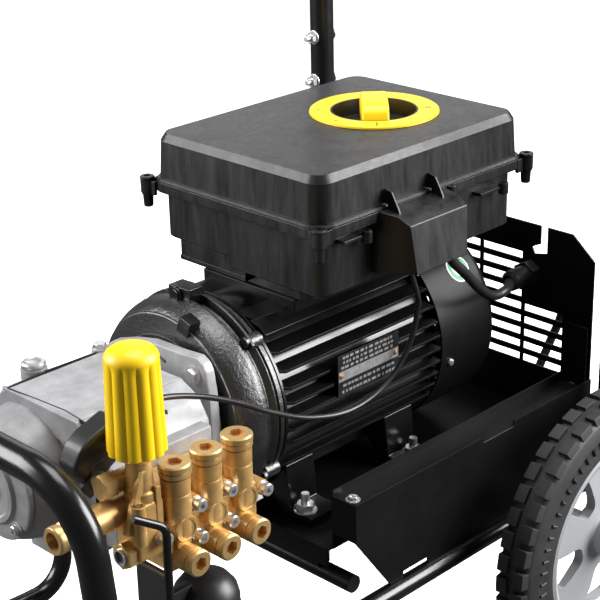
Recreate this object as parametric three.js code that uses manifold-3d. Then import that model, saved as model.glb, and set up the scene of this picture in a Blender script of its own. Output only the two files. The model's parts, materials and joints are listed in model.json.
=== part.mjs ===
// Three-phase cold-water pressure washer on a two-wheel tube frame.
// Units are millimetres, +Z is up. Inside `machine` the origin is the motor axis under the middle plunger:
// +X runs along the shaft to the wheels and handle, -Y is the side of the brass pump head.
import * as THREE from 'three';
import { mergeVertices } from 'three/addons/utils/BufferGeometryUtils.js';
import Module from 'manifold-3d';

const wasm = await Module();
wasm.setup();

// ---- driving dimensions ------------------------------------------------------------------------
const GAP = 0.3;
const AXIS_H = 400;          // motor axis above the floor
const MID_X = 262.6;         // middle of the machine along the shaft, from the middle plunger
const PITCH = 39.2;          // plunger spacing
const WHEEL = { r: 176, width: 48, x: 540, y: 270, z: -224 };
const SIDE_Y = 205;
const HANDLE = { y: 230, x: 598, r: 15, bore: 12.2, bottom: 150, top: 600, back: 690 };
const TUBE_R = 11;
const BUMPER_R = 15;
const MOTOR = { r: 118, front: 160, fins: 181, rear: 428, end: 526, feet: -132 };
const BOX = { x0: 225, x1: 553, near: -125, far: 130, seam: 203, top: 257, bottom: 124 };
const PANEL_X = 600;
const TRAY_Z = -132.3;

// ---- colours -----------------------------------------------------------------------------------
const FINISH = {
  black_paint: [0x131415, 0.32, 0.25],
  black_plastic: [0x1b1c1d, 0.5, 0],
  rubber: [0x101010, 0.85, 0],
  grey_plastic: [0x6d7173, 0.5, 0],
  yellow: [0xf2cf12, 0.4, 0],
  brass: [0xb8873a, 0.3, 1],
  cast: [0xb9bcbd, 0.5, 0.8],
  steel: [0xa9acae, 0.35, 1],
  copper: [0xa85f33, 0.4, 1],
  ceramic: [0xe9e6dc, 0.25, 0],
  cable: [0x0c0c0c, 0.4, 0],
  red_plastic: [0xa82018, 0.45, 0],
};

// ---- helpers -----------------------------------------------------------------------------------
const group = new THREE.Group();
group.name = 'pressure_washer';
const machine = new THREE.Group();
machine.name = 'machine';
machine.position.set(-MID_X, 0, AXIS_H);
group.add(machine);

function solid(geometry) {
  const g = geometry.clone();
  g.deleteAttribute('normal');
  g.deleteAttribute('uv');
  const welded = mergeVertices(g, 1e-4);
  const corners = welded.index.array;
  const triangles = [];
  for (let i = 0; i < corners.length; i += 3) {
    const [a, b, c] = corners.slice(i, i + 3);
    if (a !== b && b !== c && c !== a) triangles.push(a, b, c);
  }
  const mesh = new wasm.Mesh({
    numProp: 3,
    vertProperties: new Float32Array(welded.attributes.position.array),
    triVerts: new Uint32Array(triangles),
  });
  return new wasm.Manifold(mesh);
}

function geometryOf(body) {
  const mesh = body.getMesh();
  const g = new THREE.BufferGeometry();
  g.setAttribute('position', new THREE.BufferAttribute(new Float32Array(mesh.vertProperties), 3));
  g.setIndex(new THREE.BufferAttribute(new Uint32Array(mesh.triVerts), 1));
  g.computeVertexNormals();
  return g;
}

function join(...parts) {
  return parts.map((p) => solid(p)).reduce((a, b) => a.add(b));
}

function cut(body, ...parts) {
  return parts.reduce((a, b) => a.subtract(solid(b)), body);
}

function put(name, body, finish) {
  const geometry = body.isBufferGeometry ? body : geometryOf(body);
  const [color, roughness, metalness] = FINISH[finish];
  const material = new THREE.MeshStandardMaterial({ color, roughness, metalness });
  const mesh = new THREE.Mesh(geometry, material);
  mesh.name = name;
  machine.add(mesh);
  return mesh;
}

// Box between two opposite corners.
function block(x0, x1, y0, y1, z0, z1) {
  const g = new THREE.BoxGeometry(x1 - x0, y1 - y0, z1 - z0);
  return g.translate((x0 + x1) / 2, (y0 + y1) / 2, (z0 + z1) / 2);
}

// Straight round bar from point a to point b; rb is the radius at b.
function rod(a, b, r, sides = 16, rb = r) {
  const from = new THREE.Vector3(...a);
  const to = new THREE.Vector3(...b);
  const axis = to.clone().sub(from);
  const g = new THREE.CylinderGeometry(rb, r, axis.length(), sides);
  g.applyQuaternion(new THREE.Quaternion().setFromUnitVectors(new THREE.Vector3(0, 1, 0), axis.normalize()));
  return g.translate(...from.add(to).multiplyScalar(0.5));
}

// Profile of [radius, height] pairs turned about +X ('x'), +Y ('y') or +Z ('z').
function turned(profile, axis, sides = 32) {
  const points = profile.map(([r, h]) => new THREE.Vector2(r, h));
  if (THREE.ShapeUtils.area(points) < 0) points.reverse();
  const g = new THREE.LatheGeometry(points, sides);
  if (axis === 'x') g.rotateZ(-Math.PI / 2);
  if (axis === 'z') g.rotateX(Math.PI / 2);
  return g;
}

// Flat outline pushed along one axis: 'z' keeps (x, y), 'y' takes (x, z), 'x' takes (y, z).
function plate(outline, axis, from, to, holes = []) {
  const shape = new THREE.Shape(outline.map(([u, v]) => new THREE.Vector2(u, v)));
  for (const hole of holes) shape.holes.push(new THREE.Path(hole.map(([u, v]) => new THREE.Vector2(u, v))));
  const g = new THREE.ExtrudeGeometry(shape, { depth: to - from, bevelEnabled: false, curveSegments: 1 });
  if (axis === 'y') g.rotateX(Math.PI / 2).translate(0, to, 0);
  if (axis === 'x') g.rotateZ(Math.PI / 2).rotateY(Math.PI / 2).translate(from, 0, 0);
  if (axis === 'z') g.translate(0, 0, from);
  return g;
}

function roundedRect(u0, u1, v0, v1, r, steps = 2) {
  const points = [];
  const corners = [[u1 - r, v0 + r, -90], [u1 - r, v1 - r, 0], [u0 + r, v1 - r, 90], [u0 + r, v0 + r, 180]];
  for (const [cu, cv, start] of corners) {
    for (let i = 0; i <= steps; i++) {
      const a = THREE.MathUtils.degToRad(start + (90 * i) / steps);
      points.push([cu + r * Math.cos(a), cv + r * Math.sin(a)]);
    }
  }
  return points;
}

function ring(r, count, offset = 0) {
  const points = [];
  for (let i = 0; i < count; i++) {
    const a = offset + (2 * Math.PI * i) / count;
    points.push([r * Math.cos(a), r * Math.sin(a)]);
  }
  return points;
}

// Corner points joined by straight runs, each corner rounded to the bend radius.
function bent(corners, radius, stepDeg = 15) {
  const p = corners.map((c) => new THREE.Vector3(...c));
  const path = [p[0]];
  for (let i = 1; i < p.length - 1; i++) {
    const into = p[i].clone().sub(p[i - 1]).normalize();
    const out = p[i + 1].clone().sub(p[i]).normalize();
    const turn = into.angleTo(out);
    const back = radius * Math.tan(turn / 2);
    const steps = Math.max(1, Math.round(THREE.MathUtils.radToDeg(turn) / stepDeg));
    const start = p[i].clone().addScaledVector(into, -back);
    const side = out.clone().addScaledVector(into, -out.dot(into)).normalize();
    const centre = start.clone().addScaledVector(side, radius);
    for (let k = 0; k <= steps; k++) {
      const a = (turn * k) / steps;
      const point = centre.clone().addScaledVector(side, -radius * Math.cos(a));
      path.push(point.addScaledVector(into, radius * Math.sin(a)));
    }
  }
  path.push(p[p.length - 1]);
  return path;
}

// Curve that visits exactly the given points, so that a sweep along it keeps its straight runs plain.
class PointPath extends THREE.Curve {
  constructor(points) {
    super();
    this.points = points;
  }

  getUtoTmapping(u) {
    return u;
  }

  index(t) {
    return Math.round(t * (this.points.length - 1));
  }

  getPoint(t) {
    return this.points[this.index(t)].clone();
  }

  getTangent(t) {
    const i = this.index(t);
    const last = this.points.length - 1;
    const here = this.points[i];
    const tangent = new THREE.Vector3();
    if (i > 0) tangent.add(here.clone().sub(this.points[i - 1]).normalize());
    if (i < last) tangent.add(this.points[i + 1].clone().sub(here).normalize());
    return tangent.normalize();
  }
}

function swept(points, r, sides = 10) {
  const section = new THREE.Shape(ring(r, sides).map(([u, v]) => new THREE.Vector2(u, v)));
  const path = new PointPath(points);
  return new THREE.ExtrudeGeometry(section, { steps: points.length - 1, extrudePath: path, curveSegments: 1 });
}

function smooth(points, count) {
  return new THREE.CatmullRomCurve3(points.map((p) => new THREE.Vector3(...p))).getSpacedPoints(count);
}

const SIDES = [['left', -1], ['right', 1]];
const CYLINDERS = [-PITCH, 0, PITCH];

// ---- tube frame --------------------------------------------------------------------------------
const legFoot = [-131, 234, -388];
const hoop = bent([
  [legFoot[0], -legFoot[1], legFoot[2]], [-176, -232, 105], [-176, 232, 105], legFoot,
], 73);
put('front_bumper_hoop', solid(swept(hoop, BUMPER_R)), 'black_paint');

for (const [side, s] of SIDES) {
  const run = bent([
    [-124, s * 221, -303], [48, s * SIDE_Y, -299], [109, s * SIDE_Y, -299], [109, s * SIDE_Y, -200],
    [548, s * SIDE_Y, -200], [HANDLE.x, s * HANDLE.y, -190], [HANDLE.x, s * HANDLE.y, 310],
  ], 42);
  const tube = cut(solid(swept(run, TUBE_R)), swept(hoop, BUMPER_R + GAP));
  put(`side_tube_${side}`, tube, 'black_paint');

  const foot = turned([[0, -400], [22, -400], [24, -396], [21, -366], [0, -366]], 'z', 20);
  foot.translate(legFoot[0] - 1, s * legFoot[1], 0);
  const seat = rod([legFoot[0], s * legFoot[1], -388.6], [legFoot[0] - 1, s * legFoot[1], -376], BUMPER_R + 1.2, 24);
  put(`rubber_foot_${side}`, cut(solid(foot), swept(hoop, BUMPER_R + GAP), seat), 'rubber');
}

// ---- wheels ------------------------------------------------------------------------------------
put('wheel_axle', join(
  rod([WHEEL.x, -247.7, WHEEL.z], [WHEEL.x, 247.7, WHEEL.z], 12.7),
  rod([WHEEL.x, -288, WHEEL.z], [WHEEL.x, 288, WHEEL.z], 9.7),
), 'steel');

const tyre = [[122, -20], [134, -23], [168, -22], [176, -15], [176, 15], [168, 22], [134, 23], [122, 20]];
const rim = [[10.2, -22], [23, -22], [25, -9], [100, -9], [114, -20], [121.7, -20], [121.7, 20]];
rim.push([114, 20], [100, -3], [25, 5], [23, 22], [10.2, 22]);
for (const [side, s] of SIDES) {
  const place = (g) => g.translate(WHEEL.x, s * WHEEL.y, WHEEL.z);
  const closed = (profile) => profile.concat([profile[0]]).map(([r, h]) => [r, -s * h]);
  put(`tyre_${side}`, solid(place(turned(closed(tyre), 'y', 28))), 'rubber');
  let disc = solid(place(turned(closed(rim), 'y', 28)));
  for (let i = 0; i < 5; i++) {
    const window = plate([[44, -13], [86, -26], [86, 26], [44, 13]], 'y', -30, 30);
    disc = cut(disc, place(window.rotateY((2 * Math.PI * i) / 5 + 0.3)));
  }
  put(`wheel_rim_${side}`, disc, 'grey_plastic');
}

// ---- sheet metal -------------------------------------------------------------------------------
put('base_tray', join(
  block(180, PANEL_X - GAP, -170.5, 170.5, TRAY_Z - 3, TRAY_Z),
  block(180, 183, -170.5, 170.5, TRAY_Z - 22, TRAY_Z),
  rod([196, -193.7, -172], [196, 193.7, -172], 10, 12),
  block(187, 205, -150, 150, -165, TRAY_Z - 1),
  rod([560, -193.7, -172], [560, 193.7, -172], 10, 12),
  block(551, 569, -150, 150, -165, TRAY_Z - 1),
), 'black_paint');

for (const [side, s] of SIDES) {
  const y = (a, b) => [Math.min(s * a, s * b), Math.max(s * a, s * b)];
  const skirt = [[187, -115], [241, -188.6], [262, -188.6], [262, -181], [302, -181], [302, -188.6]];
  skirt.push([540, -188.6], [599.7, -172], [599.7, -69], [452, -69], [452, -76], [395, -76], [395, -69], [187, -69]);
  const stays = [[204, 240], [520, 560]].map(([a, b]) => block(a, b, ...y(172, 204), -75, -73));
  put(`side_panel_${side}`, join(
    plate(skirt, 'y', ...y(204, 206)),
    block(187, 599.7, ...y(172, 205), -78, -76),
    block(187, 189, ...y(171, 205), -115, -70),
    block(187, 599.7, ...y(171, 173), -134, -64),
    block(587, 589, ...y(172, 205), -77, 0),
    ...stays.map((g) => g.translate(0, 0, -1.5)),
  ), 'black_paint');
}

const slots = [];
for (let row = 0; row < 9; row++) {
  const z = -77 + 16.6 * row;
  for (const [a, b] of [[-160, -103], [-98, -38], [-33, 33], [38, 98], [103, 160]]) {
    const outside = row > 4 && Math.abs(a + b) > 200;
    if (!outside) slots.push(block(PANEL_X - 2, PANEL_X + 4, a, b, z + 1.3, z + 10.7));
  }
}
const louvre = [[-202, -134], [202, -134], [202, 78], [170, 105], [-124, 105], [-124, 82], [-112, 76]];
louvre.push([-116, 68], [-134, 72], [-134, 105], [-170, 105], [-202, 78]);
put('rear_louvre_panel', cut(
  solid(plate(louvre, 'x', PANEL_X, PANEL_X + 2)),
  rod([PANEL_X - 5, -111, 43], [PANEL_X + 5, -111, 43], 12.8, 12),
  ...slots,
), 'black_paint');

// ---- push handle -------------------------------------------------------------------------------
const grip = bent([
  [HANDLE.x, -HANDLE.y, HANDLE.bottom], [HANDLE.x, -HANDLE.y, 465], [HANDLE.back, -HANDLE.y, HANDLE.top],
  [HANDLE.back, HANDLE.y, HANDLE.top], [HANDLE.x, HANDLE.y, 465], [HANDLE.x, HANDLE.y, HANDLE.bottom],
], 60);
put('push_handle', cut(
  solid(swept(grip, HANDLE.r)),
  ...SIDES.map(([, s]) => rod([HANDLE.x, s * HANDLE.y, 140], [HANDLE.x, s * HANDLE.y, 330], HANDLE.bore, 10)),
), 'black_paint');

// ---- electric motor ----------------------------------------------------------------------------
const finRing = [];
const FINS = 32;
for (let i = 0; i < FINS; i++) {
  const a = (2 * Math.PI * (i + 0.5)) / FINS;
  for (const [r, da] of [[101, -0.06], [MOTOR.r, -0.018], [MOTOR.r, 0.018], [101, 0.06]]) {
    finRing.push([r * Math.cos(a + da), r * Math.sin(a + da)]);
  }
}
const feet = SIDES.flatMap(([, s]) => {
  const outline = [[s * 84, MOTOR.feet], [s * 128, MOTOR.feet], [s * 128, -121], [s * 92, -114], [s * 74, -74]];
  outline.push([s * 50, -86]);
  const foot = s > 0 ? outline : outline.reverse();
  return [[201, 244], [360, 408]].map(([a, b]) => plate(foot, 'x', a, b));
});
put('motor_housing', cut(
  join(
    plate(finRing, 'x', MOTOR.fins + GAP, MOTOR.rear),
    block(240, 408, -70, 70, 97, 110),
    ...feet,
  ),
  rod([170, 0, 0], [416, 0, 0], 95.5, 24),
  rod([170, 0, 0], [440, 0, 0], 15.9, 12),
  block(170, 435, -94, 94, 107.7, 125),
), 'black_paint');

const shieldProfile = [[19.2, 160.3], [104, 160.3], [113.5, 171.5], [114.5, 173], [114.5, 180.8], [94, 180.8]];
shieldProfile.push([90, 174], [50, 174], [50, 192], [19.2, 192], [19.2, 160.3]);
const lugs = [48, 132, 212, 328].map((deg) => {
  const a = THREE.MathUtils.degToRad(deg);
  const [y, z] = [112 * Math.cos(a), 112 * Math.sin(a)];
  return rod([161, y, z], [180.8, y, z], 8.5, 8);
});
put('motor_end_shield', join(turned(shieldProfile, 'x', 28), ...lugs), 'black_paint');

const cover = [[118, MOTOR.rear + GAP], [118, 512], [110, MOTOR.end], [0, MOTOR.end], [0, 523.5], [108, 523.5]];
cover.push([115.5, 511], [115.5, MOTOR.rear + GAP], [118, MOTOR.rear + GAP]);
const grilleHoles = [];
for (const [r, n] of [[42, 7], [84, 12]]) {
  for (const [y, z] of ring(r, n)) grilleHoles.push(rod([518, y, z], [530, y, z], 12, 6));
}
put('fan_cover', cut(solid(turned(cover, 'x', 28)), ...grilleHoles), 'black_paint');

const blades = [0, 1, 2, 3, 4, 5, 6].map((i) => {
  return block(452, 486, -2, 2, 20, 96).rotateX((2 * Math.PI * i) / 7);
});
put('cooling_fan', cut(
  join(turned([[0, 446], [92, 446], [92, 449], [28, 454], [24, 486], [0, 486]], 'x', 16), ...blades),
  rod([440, 0, 0], [490, 0, 0], 15.7),
), 'black_plastic');

const stator = [[66, 232], [94.2, 232], [94.2, 382], [66, 382], [66, 232]];
put('stator_core', solid(turned(stator, 'x', 20)), 'steel');
const coils = [[61, 206], [88, 206], [88, 231.7], [65.6, 231.7], [65.6, 382.3], [88, 382.3], [88, 404]];
coils.push([61, 404], [61, 206]);
put('stator_winding', solid(turned(coils, 'x', 20)), 'copper');
const rotor = [[0, 116], [15, 116], [15, 162], [18.7, 162], [18.7, 196], [24, 196], [24, 234], [60, 234], [60, 380]];
rotor.push([24, 380], [24, 412], [15, 412], [15, 494], [0, 494]);
put('motor_rotor', solid(turned(rotor, 'x', 20)), 'steel');

const bell = [[75.6, 101.3], [84, 101.3], [85, 118.6], [102.5, 119.4], [107, 125], [114, 132], [119.5, 143.5]];
bell.push([120, 158], [122.7, 159], [122.7, 160], [98, 160], [88, 125], [75.6, 125], [75.6, 101.3]);
put('bell_housing', solid(turned(bell, 'x', 28)), 'black_paint');

// ---- pump --------------------------------------------------------------------------------------
const HEAD_Y = -131;
const section = [[-118, -42], [-96, -62], [-40, -74], [30, -74], [62, -50], [68, 0], [62, 48], [42, 76], [-78, 78]];
section.push([-104, 66], [-118, 44]);
const flange = [[-76, -92], [76, -92], [92, -76], [92, 76], [76, 92], [-76, 92], [-92, 76], [-92, -76]];
let crankcase = join(
  plate(section, 'x', -64, 72),
  turned([[0, 104], [74, 104], [76, 60], [72, -60], [64, -96], [58, -105], [0, -105]], 'x', 20),
  plate(flange, 'x', 88, 101),
  block(-64, 62, HEAD_Y + GAP, -100, -44, 46),
  rod([-14, 50, 70], [-14, 50, 84], 11),
  plate([[-20, -74], [20, -74], [20, -96], [-20, -96]], 'x', -60, 60),
);
crankcase = cut(crankcase, rod([-110, 0, 0], [110, 0, 0], 52, 20), rod([-14, 50, 40], [-14, 50, 90], 6));
crankcase = cut(crankcase, ...CYLINDERS.map((x) => rod([x, -30, 0], [x, -140, 0], 14.6, 12)));
put('pump_crankcase', crankcase, 'cast');

const coverProfile = [[0, -117], [36, -117], [40, -112], [58, -110], [58, -105.3], [51.5, -105.3], [51.5, -98]];
coverProfile.push([22, -98], [22, -84], [12.3, -84], [12.3, -104], [0, -104]);
put('pump_bearing_cover', solid(turned(coverProfile, 'x', 20)), 'cast');
put('oil_filler_cap', join(
  rod([-14, 50, 45], [-14, 50, 84.5], 5.6),
  rod([-14, 50, 84.3], [-14, 50, 92], 9.5, 6),
), 'steel');

const throwPins = CYLINDERS.map((x, i) => {
  const a = Math.PI / 2 + (2 * Math.PI * i) / 3;
  return rod([x - 8, 7 * Math.cos(a), 7 * Math.sin(a)], [x + 8, 7 * Math.cos(a), 7 * Math.sin(a)], 20, 16);
});
put('crankshaft', cut(
  join(rod([-103, 0, 0], [110, 0, 0], 12, 12), rod([62, 0, 0], [150, 0, 0], 26, 16), ...throwPins),
  rod([115.7, 0, 0], [155, 0, 0], 15.7),
), 'steel');

const SLIPPER_Y = -35;
CYLINDERS.forEach((x, i) => {
  const n = i + 1;
  put(`connecting_rod_${n}`, cut(
    join(
      block(x - 8, x + 8, -41, -22, -13, 13),
      block(x - 4, x + 4, -90, -40, -5, 5),
      rod([x, -82, 0], [x, -98, 0], 7),
    ),
    rod([x - 20, 0, 0], [x + 20, 0, 0], -SLIPPER_Y, 32),
  ), 'cast');
  put(`plunger_${n}`, cut(
    join(rod([x, -84, 0], [x, -116, 0], 14), rod([x, -110, 0], [x, -166, 0], 9)),
    rod([x, -80, 0], [x, -98.3, 0], 7.3),
  ), 'ceramic');
});

const bores = CYLINDERS.flatMap((x) => [
  rod([x, HEAD_Y + 5, 0], [x, -188, 0], 9.5, 12),
  rod([x, -190.6, 60], [x, -190.6, -6], 9.5, 10),
  rod([x, -214, -30], [x, -176, -30], 9.5, 10),
  rod([x, -182, -36], [x, -182, 4], 5, 6),
]);
const headParts = CYLINDERS.flatMap((x) => [
  rod([x, -190.6, -2], [x, -190.6, 52], 14.3, 16),
  rod([x, -188, -30], [x, -212, -30], 13.6, 16),
  rod([x, -196, 0], [x, -204.7, 0], 14, 16),
]);
put('pump_head', cut(
  join(
    block(-55.5, 58, -158, HEAD_Y, -44, 30),
    block(-55, 58, -198, -150, -46, 8),
    ...headParts,
  ),
  ...bores,
), 'brass');

const socket = (r) => ring(r, 6);
CYLINDERS.forEach((x, i) => {
  const upper = cut(
    join(
      turned([[0, 34], [8.6, 34], [8.6, 52.3], [14.3, 52.3], [14.3, 64.4], [12.6, 66.4], [0, 66.4]], 'z', 14),
    ),
    plate(socket(8.1), 'z', 58, 70),
  );
  put(`discharge_valve_plug_${i + 1}`, geometryOf(upper).translate(x, -190.6, 0), 'brass');
  const lower = cut(
    solid(turned([[0, 194], [8.6, 194], [8.6, 212.3], [13.6, 212.3], [13.6, 219.6], [12, 221.2], [0, 221.2]], 'z', 14)),
    plate(socket(8.1), 'z', 214, 225),
  );
  put(`suction_valve_plug_${i + 1}`, geometryOf(lower).rotateX(Math.PI / 2).translate(x, 0, -30), 'brass');
});

// ---- unloader and its knob ---------------------------------------------------------------------
const KNOB = { x: -71, y: -178, z0: 86, h: 105 };
put('unloader_body', cut(
  join(
    rod([KNOB.x, KNOB.y, -2], [KNOB.x, KNOB.y, 78], 15, 14),
    block(-88, -56, -196, -160, -20, 40),
    rod([-60, -165, 25], [-141, -165, 25], 14.5, 14),
    rod([-74, -162, 54], [-112, -162, 54], 12.5, 6),
    rod([-104, -190, 12], [-80, -186, 68], 4, 8),
    rod([-60, -178, -14], [-100, -178, -14], 12.5, 6),
  ),
  rod([KNOB.x, KNOB.y, 20], [KNOB.x, KNOB.y, 86], 7.3),
  rod([-95, -165, 25], [-145, -165, 25], 8.5),
  rod([-90, -178, -14], [-105, -178, -14], 6.5, 12),
), 'brass');
put('pressure_outlet', solid(
  turned([[9, 141.3], [9, 163], [12.5, 163], [13.8, 160], [13.8, 141.3], [9, 141.3]], 'x', 12)
    .rotateZ(Math.PI).translate(0, -165, 25),
), 'brass');

put('unloader_spindle', solid(rod([KNOB.x, KNOB.y, 28], [KNOB.x, KNOB.y, 148], 7)), 'steel');

const flutes = [];
const LOBES = 10;
for (let i = 0; i < LOBES * 4; i++) {
  const a = (2 * Math.PI * i) / (LOBES * 4);
  const r = [28, 27, 24.6, 27][i % 4];
  flutes.push([r * Math.cos(a), r * Math.sin(a)]);
}
const skirtGeometry = plate(flutes, 'z', 0, 1);
const shell = skirtGeometry.attributes.position;
for (let i = 0; i < shell.count; i++) {
  const high = shell.getZ(i) > 0.5;
  const k = high ? 0.87 : 1;
  shell.setXYZ(i, shell.getX(i) * k, shell.getY(i) * k, high ? 88 : 0);
}
const dome = turned([[0, 70], [21, 70], [24.4, 88], [24, 94], [20, 101], [12, 104], [0, KNOB.h]], 'z', 20);
const knob = cut(join(skirtGeometry, dome), rod([0, 0, -5], [0, 0, 62.5], 7.3));
put('pressure_knob', geometryOf(knob).translate(KNOB.x, KNOB.y, KNOB.z0), 'yellow');

const elbow = [[-120, 74], [-118, 64], [-110, 57], [-100, 44], [-88, 44], [-80, 58], [-66, 66], [-66, 108]];
elbow.push([-97, 98], [-110, 90]);
put('microswitch_housing', join(
  plate(elbow, 'y', -148, -120),
  rod([-90, -134, 104], [-60, -136, 104], 7, 12),
), 'black_plastic');

const hook = bent([[-116, -214, 47], [-86, -226, 30], [-86, -226, -192], [-124, -234, -214]], 14, 22);
put('gun_hook', cut(solid(swept(hook, 4, 8)), swept(hoop, BUMPER_R + GAP)), 'black_paint');
put('inlet_filter', join(
  turned([[0, -168], [26, -168], [33, -160], [34, -100], [30, -86], [18, -78], [0, -76]], 'z', 16).translate(4, -176, 0),
  block(-60, 4, -180, -172, -112, -80),
  block(-60, -52, -196, -150, -112, -46.3),
), 'black_plastic');

// ---- control box -------------------------------------------------------------------------------
const boxPlate = (grow, r, low, high) => plate(
  roundedRect(BOX.x0 - grow, BOX.x1 + grow, BOX.near - grow, BOX.far + grow, r, 3), 'z', low, high,
);
const boxLugs = [BOX.x0 - 6, BOX.x1 + 7].flatMap((x) => [[x, BOX.near - 4], [x, BOX.far + 7]]);
const lugWebs = (low, high) => [[BOX.x0 - 6, BOX.x0 + 12], [BOX.x1 - 12, BOX.x1 + 7]].flatMap(([a, b]) => [
  block(a, b, BOX.near - 4, BOX.near + 14, low, high),
  block(a, b, BOX.far - 12, BOX.far + 7, low, high),
]);
put('control_box_base', cut(
  join(
    boxPlate(-4, 18, 137, BOX.seam - 2),
    block(BOX.x0 + 4, BOX.x1 - 4, BOX.near + 22, 16, BOX.bottom, 138),
    block(BOX.x0 + 22, BOX.x1 - 22, BOX.near + 4, BOX.near + 23, BOX.bottom, 138),
    boxPlate(6.5, 24, 191, BOX.seam),
    block(231, 421, -5, 100, 113, 138),
    plate(roundedRect(242, 420, -88, 88, 14), 'z', 108, 130),
    ...boxLugs.map(([x, y]) => rod([x, y, 171], [x, y, BOX.seam], 7.5, 8)),
    ...lugWebs(191, BOX.seam),
  ),
  boxPlate(-7, 16, 140, 210),
), 'black_plastic');

put('control_box_lid', cut(
  join(
    boxPlate(1.5, 21, BOX.seam + GAP, 230),
    boxPlate(0.5, 20, 229, 249),
    boxPlate(-1.7, 18, 248, 253),
    boxPlate(-4.6, 16, 252, BOX.top),
    boxPlate(6.5, 24, BOX.seam + GAP, 206),
    ...boxLugs.map(([x, y]) => rod([x, y, BOX.seam + GAP], [x, y, 206], 8, 8)),
    ...lugWebs(BOX.seam + GAP, 206),
  ),
  boxPlate(-4, 17, 200, 236),
  rod([444, 0, 238], [444, 0, 262], 49, 24),
  rod([444, 0, 230], [444, 0, 262], 9),
), 'black_plastic');

const dial = [[49.7, 257.3], [74, 257.3], [74, 259.5], [49.7, 259.5], [49.7, 257.3]];
put('dial_ring', geometryOf(solid(turned(dial, 'z', 28))).translate(444, 0, 0), 'yellow');
const arch = [[-41, 242], [41, 242], [41, 256], [36, 267], [26, 273], [-26, 273], [-36, 267], [-41, 256]];
const lever = join(
  plate(arch, 'y', -13.5, 13.5),
  turned([[0, 238.3], [44, 238.3], [44, 243], [0, 243]], 'z', 28),
  rod([0, 0, 212], [0, 0, 240], 6),
);
put('selector_knob', geometryOf(lever).rotateZ(Math.PI / 4).translate(444, 0, 0), 'yellow');
put('switch_body', join(block(416, 472, -28, 28, 168, 208), block(420, 468, -32, 32, 140.3, 170)), 'grey_plastic');
put('contactor', join(
  block(270, 330, -40, 40, 140.3, 196),
  block(262, 338, -30, 30, 150, 180),
), 'grey_plastic');

const hoodSide = [[-121.4, 132], [-171, 137], [-164, 190], [-152, 199], [-132, 203], [-132, 190.6], [-121.4, 190.6]];
const hoodTop = [[306, -121], [306, -132], [316, -158], [323, -171.5], [404, -171.5], [412, -164], [412, -121]];
const hoodFin = [[-132, 196], [-150, 194], [-148, 203], [-137, 222], [-127.2, 224], [-127.2, 207.4], [-132, 207.4]];
const hood = solid(plate(hoodSide, 'x', 300, 420)).intersect(solid(plate(hoodTop, 'z', 120, 220)));
put('cable_hood', cut(
  join(geometryOf(hood), plate(hoodFin, 'x', 319, 322), plate(hoodFin, 'x', 389, 392)),
  block(318, 410, -158, -115, 120, 183),
), 'black_plastic');

// ---- leads -------------------------------------------------------------------------------------
const CONTROL_LEAD = [
  [336, -142, 148], [350, -146, 104], [357, -142, 80], [351, -134, 34], [317, -130, -1], [263, -128, -13],
  [201, -128, 1], [142, -130, 30], [98, -133, 57], [42, -138, 86], [-8, -140, 103], [-52, -137, 104.5],
];
put('control_lead', swept(smooth(CONTROL_LEAD, 36), 3, 6), 'cable');
const MOTOR_LEAD = [
  [394, -148, 150], [398, -148, 137], [409, -148, 121], [431, -147, 101], [456, -145, 77], [480, -143, 59],
  [497, -141, 53], [516, -138, 52], [536, -128, 48], [554, -114, 43.5],
];
put('motor_lead', swept(smooth(MOTOR_LEAD, 20), 5.8, 8), 'cable');

const gland = [[6.1, 560], [12.5, 564], [12.5, 584], [17, 586], [17, 599.7], [12, 599.7], [12, 602.3], [17, 602.3]];
gland.push([17, 610], [11, 620], [6.1, 620], [6.1, 560]);
put('cable_gland', geometryOf(solid(turned(gland, 'x', 14))).translate(0, -111, 43), 'black_plastic');

const CORD = { r: 5.8, floor: -400, coil: [937, -260], turn: 62, bundle: 18 };
const MAINS_ROUTE = [
  [620.3, -111, 43], [652, -111, 38], [678, -107, 12], [688, -97, -40], [689, -76, -95], [690, -56, -150],
  [695, -46, -215], [708, -46, -285], [732, -62, -345], [768, -95, -383], [806, -130, -394],
  [843, -160, -394], [860, -190, -394], [863, -222, -394],
];
put('mains_cord', swept(smooth(MAINS_ROUTE, 36), CORD.r, 8), 'cable');
const bundle = [];
for (const [u, v] of ring(CORD.bundle, 8, Math.PI / 8)) {
  bundle.push([CORD.turn + u, CORD.floor + CORD.bundle + v]);
}
bundle.push(bundle[0]);
put('mains_cord_coil', geometryOf(solid(turned(bundle, 'z', 28))).translate(...CORD.coil, 0), 'cable');
const plug = [[0, 0], [8, 0], [9, 22], [24, 34], [27, 96], [34, 100], [34, 150], [30, 150], [30, 112], [0, 112]];
const mainsPlug = join(
  turned(plug, 'y', 16),
  ...ring(17, 5, Math.PI / 2).map(([u, v]) => rod([u, 108, v], [u, 146, v], 3.4, 6)),
);
put('mains_plug', geometryOf(mainsPlug).translate(CORD.coil[0] + CORD.turn, -208, CORD.floor + 34), 'red_plastic');

export default group;
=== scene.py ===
"""Pressure washer: the visible model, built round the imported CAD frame.

Sizes inside the builders are millimetres from the motor axis under the middle plunger, as on the
part's own drawing: +X runs along the shaft to the wheels, -Y is the side of the brass head.
row() turns them into the frame's metres.
"""
import json
import math
import random

import bmesh
import bpy
from mathutils import Matrix, Vector


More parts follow.
